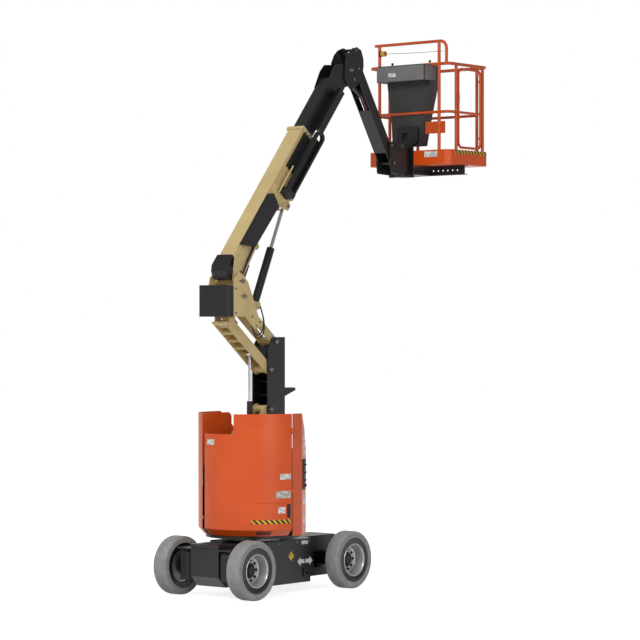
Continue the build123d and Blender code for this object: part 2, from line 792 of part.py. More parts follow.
with BuildPart() as boom_tail_cover:
    # moulded cover behind the top of the boom's tail
    with BuildSketch(tilted(boom_pin, boom_deg)) as cover:
        with BuildLine():
            Polyline((-70, 120), (-34, 60), (60, 112), (60, 200), (176, 214), (176, 236), (30, 236), (-30, 200),
                     close=True)
        make_face()
    extrude(amount=base_half_w + 8, both=True)
    # it closes over the tail plates
    with BuildSketch(tilted(boom_pin, boom_deg)):
        with BuildLine():
            Polyline((-60, 40), (-45, 60 + seat_gap), (190, 190 + seat_gap), (300, 214), (300, 0), (0, 0), close=True)
        make_face()
    extrude(amount=base_half_w + 12, both=True, mode=Mode.SUBTRACT)
save(boom_tail_cover, "boom_tail_cover")

# tray and looped hose track along the right side of the boom
tray_y = -(base_half_w + 12)
with BuildPart() as hose_carrier:
    # lower hose guard: a cover that is open towards the boom
    # columns: Y of the sketch, depth, outline
    guard = ((tray_y - 48, 48, ((330, 218), (454, 39), (1048, 18), (1105, 174), (1059, 218))),
             (tray_y - 44, 44, ((344, 213), (458, 44), (1044, 23), (1099, 174), (1056, 213))))
    for mode, (y, depth, outline) in zip((Mode.ADD, Mode.SUBTRACT), guard):
        with BuildSketch(tilted(boom_pin, boom_deg, y)):
            with BuildLine():
                Polyline(*outline, close=True)
            make_face()
        extrude(amount=-depth, mode=mode)
    # flat panel beside the mouth
    with BuildSketch(end_on(boom_pin, boom_deg, 1520)):
        with Locations((-base_half_w - 8, 88)):
            Rectangle(16, 160)
    extrude(amount=492)
    # looped track: two runs joined by a bend at its top end
    for rise in (-35, 78):
        with BuildSketch(end_on(boom_pin, boom_deg, 1270)):
            with Locations((tray_y - 92, rise)):
                Rectangle(50, 26)
        extrude(amount=790)
    # web between the runs
    with BuildSketch(end_on(boom_pin, boom_deg, 1270)):
        with Locations((tray_y - 70, 21.5)):
            Rectangle(6, 113)
    extrude(amount=770)
    with BuildSketch(tilted(boom_pin, boom_deg, tray_y - 67)) as bend:
        with Locations((2060, 21.5)):
            Circle(69.5)
            Circle(43.5, mode=Mode.SUBTRACT)
            with Locations((-80, 0)):
                Rectangle(160, 150, mode=Mode.SUBTRACT)
    extrude(amount=50)
    # bracket that holds the track's foot
    with BuildSketch(end_on(boom_pin, boom_deg, 1215)):
        with Locations((-base_half_w - 70, 21)):
            Rectangle(120, 150)
    extrude(amount=60)
    # fixings on the boom's side
    for reach in (560, 960):
        with BuildSketch(end_on(boom_pin, boom_deg, reach)):
            with Locations((-base_half_w - 29, 100)):
                Rectangle(58, 30)
        extrude(amount=50)
save(hose_carrier, "hose_carrier")

def cylinder_body(foot, deg, length, radius, bore, eye_r, eye_half_w, pin):
    """Barrel with an eye at its foot; the bore stays open at the rod end."""
    with BuildSketch(end_on(foot, deg, eye_r * 0.6)) as tube:
        Circle(radius)
    extrude(tube.sketch, amount=length - eye_r * 0.6)
    with BuildSketch(end_on(foot, deg, eye_r * 2)) as hollow:
        Circle(bore)
    extrude(hollow.sketch, amount=length, mode=Mode.SUBTRACT)
    cross_tube(foot, eye_r, eye_half_w)
    cross_cut(foot, pin + pin_gap, max(eye_half_w, radius) + 1)


def cylinder_rod(foot, eye, deg, start, radius, eye_r, eye_half_w):
    """Rod from a point inside the barrel to its eye."""
    reach = ((eye[0] - foot[0]) ** 2 + (eye[1] - foot[1]) ** 2) ** 0.5
    with BuildSketch(end_on(foot, deg, start)) as bar:
        Circle(radius)
    extrude(bar.sketch, amount=reach - start)
    cross_tube(eye, eye_r, eye_half_w)


def bearing(a, b):
    """Direction from a to b in degrees, in the side view."""
    from math import atan2, degrees
    return degrees(atan2(b[1] - a[1], b[0] - a[0]))


lift_deg = bearing(lift_pin, lift_eye)
with BuildPart() as lift_cylinder:
    cylinder_body(lift_pin, lift_deg, 690, 44, 36, 36, 44, 20)
save(lift_cylinder, "lift_cylinder")
with BuildPart() as lift_rod:
    cylinder_rod(lift_pin, lift_eye, lift_deg, 560, 20, 34, 28)
    with BuildSketch(end_on(lift_pin, lift_deg, 560)):
        Circle(36 - pin_gap)
    extrude(amount=60)
save(lift_rod, "lift_rod")

level_deg = bearing(level_pin, level_eye)
with BuildPart() as level_cylinder:
    cylinder_body(level_pin, level_deg, 350, 26, 20, 24, 22, 14)
save(level_cylinder, "level_cylinder")
with BuildPart() as level_rod:
    cylinder_rod(level_pin, level_eye, level_deg, 300, 12, 20, 18)
    with BuildSketch(end_on(level_pin, level_deg, 300)):
        Circle(20 - pin_gap)
    extrude(amount=36)
save(level_rod, "level_rod")

# ---------------------------------------------------------------- fly boom
fly_rise = mid_rise
fly_tail = 820          # where the fly starts inside the base boom
with BuildPart() as fly_boom:
    with BuildSketch(end_on(boom_pin, boom_deg, fly_tail)):
        with Locations((0, fly_rise)):
            Rectangle(2 * fly_half_w, fly_depth)
            Rectangle(2 * fly_half_w - 16, fly_depth - 16, mode=Mode.SUBTRACT)
    extrude(amount=fly_reach - 290 - fly_tail)
    # head plates that widen, then round off at the knuckle pivot
    head_r = 58
    for y in (fly_half_w + 8, -fly_half_w):
        with BuildSketch(tilted(boom_pin, boom_deg, y)) as head:
            with BuildLine():
                Polyline((fly_reach - 450, 24), (fly_reach - 450, 188), (fly_reach - 230, 236),
                         (fly_reach - 120, 226), (fly_reach + head_r, 40), (fly_reach + head_r, -6),
                         (fly_reach + 8, -46), (fly_reach - 120, -60), (fly_reach - 300, -60), close=True)
            make_face()
            fillet(head.vertices(), 20)
        extrude(amount=8)
    cross_tube(knuckle_pin, 42, fly_half_w + 8)
    cross_cut(knuckle_pin, pin_r + pin_gap, fly_half_w + 9)
    # hose tube along the right side, it slides in beside the base boom
    with BuildSketch(end_on(boom_pin, boom_deg, fly_reach - 970)):
        with Locations((-149, 20)):
            Rectangle(50, 90)
    extrude(amount=620)
    with BuildSketch(end_on(boom_pin, boom_deg, fly_reach - 430)):
        with Locations((-fly_half_w - 23, 20)):
            Rectangle(48, 60)
    extrude(amount=60)
save(fly_boom, "fly_boom")

# ---------------------------------------------------------------- knuckle, jib and its link
jib_pin_r = 16


def head_plates(points, radius=18):
    """Outer pair of plates that the jib's bars are pinned between."""
    side_plates(points, jib_half_w + 10, 12, radius)


with BuildPart() as jib_knuckle:
    head_plates(((1570, 5590), (1470, 5700), (1480, 5900), (1530, 5990), (1600, 6052), (1690, 6084),
                 (1770, 6052), (1810, 5960), (1815, 5880), (1800, 5800), (1690, 5640)))
    cross_tube(knuckle_pin, pin_r, jib_half_w + 16)
    cross_tube(jib_link_pin, jib_pin_r, jib_half_w + 16)
    # the arm's pins stop short, so that the cylinder swings between them
    stubs(jib_pin, jib_pin_r, 42, jib_half_w + 16)
    # spacer tube at the foot of the plates
    cross_tube((1620, 5645), 16, jib_half_w + 9)
    cross_tube(jib_lift_pin, 16, jib_half_w + 9)
save(jib_knuckle, "jib_knuckle")

with BuildPart() as jib_arm:
    for y in (jib_half_w - 8, 18 - jib_half_w):
        with BuildSketch(tilted(jib_pin, jib_deg, y)):
            with Locations((jib_len / 2, 0)):
                SlotCenterToCenter(jib_len, jib_depth)
        extrude(amount=10)
    # floor web, and a cross tube, between the plates
    with BuildSketch(tilted(jib_pin, jib_deg)):
        with Locations((800, -36)):
            Rectangle(560, 10)
    extrude(amount=jib_half_w - 9, both=True)
    for at in (jib_pin, jib_end):
        cross_cut(at, jib_pin_r + pin_gap, jib_half_w)
    stubs(jib_lift_eye, 16, 26, jib_half_w - 9)
save(jib_arm, "jib_arm")

with BuildPart() as jib_link:
    for y in (jib_half_w - 24, 34 - jib_half_w):
        with BuildSketch(tilted(jib_link_pin, jib_deg, y)):
            with Locations((jib_len / 2, 0)):
                SlotCenterToCenter(jib_len, jib_link_depth)
        extrude(amount=10)
    with BuildSketch(tilted(jib_link_pin, jib_deg)):
        with Locations((jib_len / 2 + 40, 23)):
            Rectangle(jib_len - 300, 8)
    extrude(amount=jib_half_w - 25, both=True)
    for at in (jib_link_pin, jib_link_end):
        cross_cut(at, jib_pin_r + pin_gap, jib_half_w)
save(jib_link, "jib_link")

jib_lift_deg = bearing(jib_lift_pin, jib_lift_eye)
with BuildPart() as jib_cylinder:
    cylinder_body(jib_lift_pin, jib_lift_deg, 300, 26, 20, 24, 22, 16)
save(jib_cylinder, "jib_cylinder")
with BuildPart() as jib_rod:
    cylinder_rod(jib_lift_pin, jib_lift_eye, jib_lift_deg, 200, 12, 20, 18)
    with BuildSketch(end_on(jib_lift_pin, jib_lift_deg, 200)):
        Circle(20 - pin_gap)
    extrude(amount=30)
save(jib_rod, "jib_rod")

head_top_z = jib_end[1] + 190
head_foot_z = jib_end[1] - 110
with BuildPart() as jib_head:
    head_plates(((jib_end[0] - 61, jib_end[1] - 30), (jib_end[0] - 51, jib_end[1] - 120),
                 (rotor_x - 110, jib_end[1] - 130), (rotor_x - 55, jib_end[1] - 90),
                 (rotor_x - 55, jib_end[1] + 160),
                 (jib_link_end[0] + 60, jib_link_end[1] + 45), (jib_link_end[0] - 40, jib_link_end[1] + 35)))
    for at in (jib_end, jib_link_end):
        cross_tube(at, jib_pin_r, jib_half_w + 16)
    # rotary actuator housing, carried by a wall between the plates
    with BuildSketch(facing(rotor_x - 85)):
        with Locations((0, jib_end[1] + 35)):
            Rectangle(2 * jib_half_w + 18, 240)
    extrude(amount=30)
    with BuildSketch(level(head_foot_z)):
        with Locations((rotor_x, 0)):
            Circle(rotor_r)
    extrude(amount=head_top_z - head_foot_z)
save(jib_head, "jib_head")

# ---------------------------------------------------------------- platform
floor_clear = 8
with BuildPart() as platform_support:
    # yoke above and below the actuator
    for z, height in ((head_top_z + 0.3, 40), (head_foot_z - 40.3, 40)):
        with BuildSketch(level(z)):
            with Locations((rotor_x, 0)):
                Circle(rotor_r)
            with Locations((rotor_x + 60, 0)):
                Rectangle(120, 150)
        extrude(amount=height)
    # mounting plate against the toe-board, with a slotted head under the console;
    # it stands far enough out to pass the jib head's plates when the platform turns
    with BuildSketch(facing(deck_rear_x - 16)):
        with BuildLine():
            Polyline((-85, head_foot_z - 40.3), (85, head_foot_z - 40.3), (85, 5030), (145, 5070), (145, 5240),
                     (-145, 5240), (-145, 5070), (-85, 5030), close=True)
        make_face()
        with Locations((30, 5129)):
            Rectangle(80, 92, mode=Mode.SUBTRACT)
    extrude(amount=16)
    # perforated cross beam under the floor, and the arm that reaches it
    with BuildSketch(level(beam_low_z)):
        with Locations(((deck_rear_x - 16 + beam_x) / 2, 0)):
            Rectangle(beam_x - deck_rear_x + 16, 150)
    extrude(amount=60)
    with BuildSketch(facing(beam_x)) as beam_face:
        with Locations((0, (beam_low_z + deck_low_z) / 2)):
            Rectangle(2 * beam_half_w, deck_low_z - beam_low_z)
            with GridLocations(70, 1, 14, 1):
                Circle(11, mode=Mode.SUBTRACT)
    extrude(amount=8)
    for z in (beam_low_z, deck_low_z - 8):
        with BuildSketch(level(z)):
            with Locations((beam_x + 30, 0)):
                Rectangle(60, 2 * beam_half_w)
        extrude(amount=8)
save(platform_support, "platform_support")

deck_mid_x = (deck_rear_x + deck_front_x) / 2
deck_len = deck_front_x - deck_rear_x
with BuildPart() as platform_floor:
    with BuildSketch(level(deck_low_z)):
        with Locations((deck_mid_x, 0)):
            RectangleRounded(deck_len, 2 * deck_half_w, corner_r)
    extrude(amount=toe_h)
    with BuildSketch(level(deck_low_z + floor_t)):
        with Locations((deck_mid_x, 0)):
            RectangleRounded(deck_len - 2 * toe_t, 2 * (deck_half_w - toe_t), corner_r - toe_t)
    extrude(amount=toe_h, mode=Mode.SUBTRACT)
save(platform_floor, "platform_floor")

tube_in = tube_r + toe_t + 0.3     # tubes stand just inside the toe-board


def ring_rail(z):
    """Tube that runs round the platform at height z."""
    with BuildSketch(level(z)) as plan:
        with Locations((deck_mid_x, 0)):
            RectangleRounded(deck_len - 2 * tube_in, 2 * (deck_half_w - tube_in), corner_r - tube_in)
    path = plan.sketch.faces()[0].outer_wire()
    with BuildSketch(Plane(path @ 0, z_dir=path % 0)) as ring:
        Circle(tube_r)
    sweep(ring.sketch, path=path)


gate_gap = 8
gate_tube_r = 15
gate_hinge_x = gate_x1 - tube_r - gate_gap - gate_tube_r
gate_low_z = deck_low_z + toe_h + 30
gate_high_z = rail_z - 2 * tube_r - 12
rear_rail_x = deck_rear_x + tube_in
front_rail_x = deck_front_x - tube_in
side_rail_y = deck_half_w - tube_in
with BuildPart() as platform_rails:
    ring_rail(rail_z)
    # columns: x, y
    posts = (
        (rear_rail_x, 0.76 * side_rail_y),
        (rear_rail_x, -0.76 * side_rail_y),
        (front_rail_x, 0.76 * side_rail_y),
        (front_rail_x, -0.76 * side_rail_y),
        (gate_x0, -side_rail_y),
        (gate_x1, -side_rail_y),
        (deck_mid_x, side_rail_y),
    )
    for x, y in posts:
        top_z = hoop_z - 1 if x == rear_rail_x else rail_z
        with BuildSketch(level(deck_low_z + floor_t)):
            with Locations((x, y)):
                Circle(tube_r)
        extrude(amount=top_z - deck_low_z - floor_t)
    # mid rail: one bent tube from the gate round to the front right post
    with BuildLine(level(mid_rail_z)) as mid_line:
        FilletPolyline((gate_x0, -side_rail_y), (rear_rail_x, -side_rail_y), (rear_rail_x, side_rail_y),
                       (front_rail_x, side_rail_y), (front_rail_x, -0.76 * side_rail_y),
                       radius=corner_r - tube_in)
    with BuildSketch(Plane(mid_line.line @ 0, z_dir=mid_line.line % 0)):
        Circle(mid_tube_r)
    sweep(path=mid_line.line)
    # raised hoop on the boom side: it stands on the rear posts and on a leg at the right
    with BuildLine(Plane(origin=(slew_x + rear_rail_x, 0, 0), x_dir=(0, 1, 0), z_dir=(1, 0, 0))) as hoop_line:
        FilletPolyline((500, hoop_z), (-545, hoop_z), (-545, rail_z), radius=90)
    with BuildSketch(Plane(hoop_line.line @ 0, z_dir=hoop_line.line % 0)):
        Circle(hoop_tube_r)
    sweep(path=hoop_line.line)
    # gusset plate on the rear right post
    with BuildSketch(facing(rear_rail_x - 4)):
        with Locations((-385, 5220)):
            Rectangle(280, 140)
    extrude(amount=8)
    # hinge rings that the gate's end tube turns in
    for z in (gate_low_z + 110, gate_high_z - 140):
        with BuildSketch(level(z)):
            with Locations((gate_hinge_x, -side_rail_y)):
                Circle(gate_tube_r + 6)
            with Locations(((gate_hinge_x + gate_x1) / 2, -side_rail_y)):
                Rectangle(gate_x1 - gate_hinge_x, 16)
            with Locations((gate_hinge_x, -side_rail_y)):
                Circle(gate_tube_r + pin_gap, mode=Mode.SUBTRACT)
        extrude(amount=30)
save(platform_rails, "platform_rails")

with BuildPart() as gate:
    gate_mid_x = (gate_x0 + gate_x1) / 2
    gate_half = (gate_x1 - gate_x0) / 2 - tube_r - gate_gap - gate_tube_r
    # the frame is bent from two halves that meet at its middle
    for way in (-1, 1):
        with BuildLine(side(-side_rail_y)) as half_frame:
            FilletPolyline((gate_mid_x, gate_high_z), (gate_mid_x + way * gate_half, gate_high_z),
                           (gate_mid_x + way * gate_half, gate_low_z), (gate_mid_x, gate_low_z), radius=70)
        with BuildSketch(Plane(half_frame.line @ 0, z_dir=half_frame.line % 0)):
            Circle(gate_tube_r)
        sweep(path=half_frame.line)
    # mid bar of the gate
    bar_from = Vector(slew_x + gate_x0 + tube_r + gate_gap + gate_tube_r, -side_rail_y, mid_rail_z)
    with BuildSketch(Plane(bar_from, z_dir=(1, 0, 0))):
        Circle(gate_tube_r)
    extrude(amount=gate_x1 - gate_x0 - 2 * (tube_r + gate_gap + gate_tube_r))
save(gate, "gate")

console_x = rear_rail_x + tube_r + seat_gap
with BuildPart() as control_console:
    # the body narrows downwards inside the rail
    # columns: height, depth, width, middle Y
    sections = ((5020, 150, 400, 60), (5292, 160, 463, 44), (5772, 170, 640, console_y))
    for (z0, d0, w0, y0), (z1, d1, w1, y1) in zip(sections, sections[1:]):
        with BuildSketch(level(z0)) as low_section:
            with Locations((console_x + d0 / 2, y0)):
                Rectangle(d0, w0)
        with BuildSketch(level(z1)) as high_section:
            with Locations((console_x + d1 / 2, y1)):
                Rectangle(d1, w1)
        loft([low_section.sketch.faces()[0], high_section.sketch.faces()[0]])
    # the head reaches out over the rail, which lies in a groove of its top
    with BuildSketch(level(5770)):
        with Locations((2785, console_y)):
            RectangleRounded(240, 708, 25)
    extrude(amount=185)
    cross_cut((rear_rail_x, rail_z), tube_r + seat_gap, 700)
save(control_console, "control_console")
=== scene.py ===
"""Looks of the compact articulating boom lift: paint, tyres, trim, labels, hoses and the stage.

Places are given in millimetres from the slew axis, as they are measured on the machine, and at()
turns them into metres of the shared frame. The script runs by itself or installs as an add-on.
"""
from math import atan2, cos, pi, radians, sin

import bmesh
import bpy
from mathutils import Matrix, Vector


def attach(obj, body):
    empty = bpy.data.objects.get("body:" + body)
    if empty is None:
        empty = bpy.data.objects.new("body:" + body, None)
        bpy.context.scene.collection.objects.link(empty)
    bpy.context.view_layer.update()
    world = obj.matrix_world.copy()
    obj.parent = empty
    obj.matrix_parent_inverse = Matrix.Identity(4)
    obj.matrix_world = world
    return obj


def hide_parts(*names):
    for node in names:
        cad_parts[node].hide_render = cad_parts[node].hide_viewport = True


bl_info = {
    "name": "Boom lift looks",
    "version": (1, 0, 0),
    "blender": (4, 5, 0),
    "location": "View3D > Sidebar > Boom lift",
    "description": "Dresses the CAD frame of an articulating boom lift with materials and trim",
    "category": "Object",
}

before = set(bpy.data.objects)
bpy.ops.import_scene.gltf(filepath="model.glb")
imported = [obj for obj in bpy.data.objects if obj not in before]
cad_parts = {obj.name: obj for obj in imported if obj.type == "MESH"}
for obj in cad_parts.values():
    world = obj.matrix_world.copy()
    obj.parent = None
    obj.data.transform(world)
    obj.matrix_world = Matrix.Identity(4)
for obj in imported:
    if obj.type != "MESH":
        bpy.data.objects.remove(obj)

SLEW_X = -1316.25        # slew axis in the shared frame, mm
HOOD_R = 600.0
BOOM_PIN = (-401.0, 3391.0)
BOOM_DEG = 50.7
JIB_PIN = (1715.0, 5840.0)
JIB_DEG = -57.5
KNUCKLE_REACH = 3130.0   # boom pivot to knuckle pivot, as it stands
JIB_LEN = 1240.0
RAIL_Z = 5960.0          # middle of the top rail
CAMERA_PLACE = (-22.400, -18.104, 2.972)
CAMERA_AIM = (0.7755, 0.6314, 0)
CAMERA_LENS = 143.22
# outline of a stop button, (axial, radius) mm
STOP_BUTTON = ((0, 0.1), (0, 12), (12, 17), (20, 17), (24, 12), (24, 0.1))
TOWER_PINS = ((157.0, 1997.0), (251.0, 1694.0), (157.0, 2432.0), (251.0, 2735.0))
AXLES = (("front_left", 1010.0, 1), ("front_right", 1010.0, -1), ("rear_left", -640.0, 1),
         ("rear_right", -640.0, -1))


# ---------------------------------------------------------------- places
def at(x, y, z):
    """Point given in mm from the slew axis, in metres of the shared frame."""
    return Vector((SLEW_X + x, y, z)) / 1000


def along(start, deg, reach, rise=0.0):
    """Side-view point at reach along a direction and rise to its left, in mm."""
    a = radians(deg)
    return start[0] + reach * cos(a) - rise * sin(a), start[1] + reach * sin(a) + rise * cos(a)


def on_boom(reach, rise, y):
    """Point on the main boom, measured from its pivot along the boom, in metres."""
    x, z = along(BOOM_PIN, BOOM_DEG, reach, rise)
    return at(x, y, z)


def on_jib(reach, rise, y):
    """Point on the jib, measured from its upper pivot along the jib, in metres."""
    x, z = along(JIB_PIN, JIB_DEG, reach, rise)
    return at(x, y, z)


def on_hood(deg, radius, z):
    """Point at a bearing round the slew axis, in metres."""
    return at(radius * cos(radians(deg)), radius * sin(radians(deg)), z)


# ---------------------------------------------------------------- materials
def linear(hex_code):
    """sRGB hex colour as linear RGBA."""
    parts = [int(hex_code[i:i + 2], 16) / 255 for i in (1, 3, 5)]
    return tuple(c / 12.92 if c <= 0.04045 else ((c + 0.055) / 1.055) ** 2.4 for c in parts) + (1.0,)


def add(tree, kind, sockets=None, **props):
    """Adds a shader node, sets its properties, then links or sets its sockets."""
    made = tree.nodes.new(kind)
    for key, value in props.items():
        setattr(made, key, value)
    for key, value in (sockets or {}).items():
        if isinstance(value, bpy.types.NodeSocket):
            tree.links.new(value, made.inputs[key])
        else:
            made.inputs[key].default_value = value
    return made


def blank(name):
    """New material with an empty node tree, returned with that tree."""
    mat = bpy.data.materials.new(name)
    mat.use_nodes = True
    mat.node_tree.nodes.clear()
    return mat, mat.node_tree


def per_mm(size):
    """Noise scale, per metre, of a pattern whose features are size mm across."""
    return 1000.0 / size


def mix(tree, factor, a, b):
    """Colour mix; a, b are colours or sockets."""
    made = add(tree, "ShaderNodeMix", data_type="RGBA")
    for index, value in ((0, factor), (6, a), (7, b)):
        if isinstance(value, bpy.types.NodeSocket):
            tree.links.new(value, made.inputs[index])
        else:
            made.inputs[index].default_value = value
    return made.outputs[2]


def noise(tree, size, detail=3.0, coords=None):
    """Noise of a feature size in mm, in object space unless other coordinates are given."""
    vector = coords or add(tree, "ShaderNodeTexCoord").outputs["Object"]
    return add(tree, "ShaderNodeTexNoise", {"Vector": vector, "Scale": per_mm(size),
                                            "Detail": detail}).outputs["Fac"]


def ranged(tree, value, low, high, to_low, to_high):
    """Maps a value from one range to another, clamped."""
    return add(tree, "ShaderNodeMapRange", {"Value": value, "From Min": low, "From Max": high,
                                            "To Min": to_low, "To Max": to_high}).outputs["Result"]


def edge_mask(tree, radius_mm):
    """White along the solid's edges, from how far a rounded normal leaves the flat one."""
    bevel = add(tree, "ShaderNodeBevel", {"Radius": radius_mm / 1000}, samples=4)
    flat = add(tree, "ShaderNodeNewGeometry").outputs["Normal"]
    dot = add(tree, "ShaderNodeVectorMath", {0: bevel.outputs["Normal"], 1: flat}, operation="DOT_PRODUCT")
    return bevel.outputs["Normal"], ranged(tree, dot.outputs["Value"], 0.99, 0.86, 0.0, 1.0)


def surface(name, colour, shade, rough, spread=0.06, metallic=0.0, coat=0.0, cloud=320.0, grain=2.5,
            bump=0.05, edge=None, edge_amount=0.0, round_mm=3.0, dust=0.0):
    """Shared recipe: slow colour drift, fine grain in roughness and relief, edges lighter in patches as wear
    and painted highlight, dust on top faces.
    """
    mat, tree = blank(name)
    drift = ranged(tree, noise(tree, cloud, 4.0), 0.35, 0.65, 0.0, 1.0)
    fine = noise(tree, grain, 2.0)
    base = mix(tree, drift, linear(colour), linear(shade))
    rounded, mask = edge_mask(tree, round_mm)
    # edges turn lighter in noisy patches: partly wear, partly a painted highlight
    if edge:
        wear_and_highlight = ranged(tree, noise(tree, 18.0, 5.0), 0.45, 0.62, 0.0, edge_amount)
        both = add(tree, "ShaderNodeMath", {0: mask, 1: wear_and_highlight}, operation="MULTIPLY").outputs["Value"]
        base = mix(tree, both, base, linear(edge))
    if dust:
        up = add(tree, "ShaderNodeSeparateXYZ",
                 {0: add(tree, "ShaderNodeNewGeometry").outputs["Normal"]}).outputs["Z"]
        lying = ranged(tree, up, 0.55, 1.0, 0.0, dust)
        patchy = ranged(tree, noise(tree, 90.0, 4.0), 0.4, 0.65, 0.3, 1.0)
        both = add(tree, "ShaderNodeMath", {0: lying, 1: patchy}, operation="MULTIPLY").outputs["Value"]
        base = mix(tree, both, base, linear("#A89F90"))
    relief = add(tree, "ShaderNodeBump", {"Height": fine, "Strength": 1.0, "Distance": bump / 1000,
                                          "Normal": rounded})
    shader = add(tree, "ShaderNodeBsdfPrincipled", {
        "Base Color": base, "Roughness": ranged(tree, fine, 0.3, 0.7, rough - spread, rough + spread),
        "Metallic": metallic, "Coat Weight": coat, "Coat Roughness": 0.12,
        "Normal": relief.outputs["Normal"]})
    add(tree, "ShaderNodeOutputMaterial", {"Surface": shader.outputs["BSDF"]})
    return mat


def print_label(name, ground, ink, row_mm, word_mm, fill):
    """Vinyl label screen-printed with rows of plain bars; the film is smooth and a little glossy."""
    mat, tree = blank(name)
    uv = add(tree, "ShaderNodeUVMap").outputs["UV"]
    rows = add(tree, "ShaderNodeTexBrick", {
        "Vector": uv, "Color1": linear(ink), "Color2": linear(ink), "Mortar": linear(ground), "Scale": 1.0,
        "Mortar Size": row_mm * (1 - fill) / 2000, "Mortar Smooth": 0.1, "Brick Width": word_mm / 1000,
        "Row Height": row_mm / 1000}, offset=0.37).outputs["Color"]
    gaps = ranged(tree, noise(tree, word_mm * 1.3, 1.0, uv), 0.44, 0.5, 0.0, 1.0)
    shader = add(tree, "ShaderNodeBsdfPrincipled", {
        "Base Color": mix(tree, gaps, linear(ground), rows), "Roughness": 0.38, "Coat Weight": 0.15})
    add(tree, "ShaderNodeOutputMaterial", {"Surface": shader.outputs["BSDF"]})
    return mat


def hazard_tape(name, pitch_mm):
    """Reflective warning tape: yellow and black bands at 45 degrees, in UV metres."""
    mat, tree = blank(name)
    uv = add(tree, "ShaderNodeSeparateXYZ", {0: add(tree, "ShaderNodeUVMap").outputs["UV"]})
    slant = add(tree, "ShaderNodeMath", {0: uv.outputs["X"], 1: uv.outputs["Y"]},
                operation="ADD").outputs["Value"]
    turns = add(tree, "ShaderNodeMath", {0: slant, 1: 1000.0 / pitch_mm},
                operation="MULTIPLY").outputs["Value"]
    part = add(tree, "ShaderNodeMath", {0: turns}, operation="FRACT").outputs["Value"]
    band = add(tree, "ShaderNodeMath", {0: part, 1: 0.5}, operation="GREATER_THAN").outputs["Value"]
    glass = ranged(tree, noise(tree, 0.8, 1.0), 0.3, 0.7, 0.30, 0.42)
    shader = add(tree, "ShaderNodeBsdfPrincipled", {
        "Base Color": mix(tree, band, linear("#E9B713"), linear("#14130F")), "Roughness": glass})
    add(tree, "ShaderNodeOutputMaterial", {"Surface": shader.outputs["BSDF"]})
    return mat


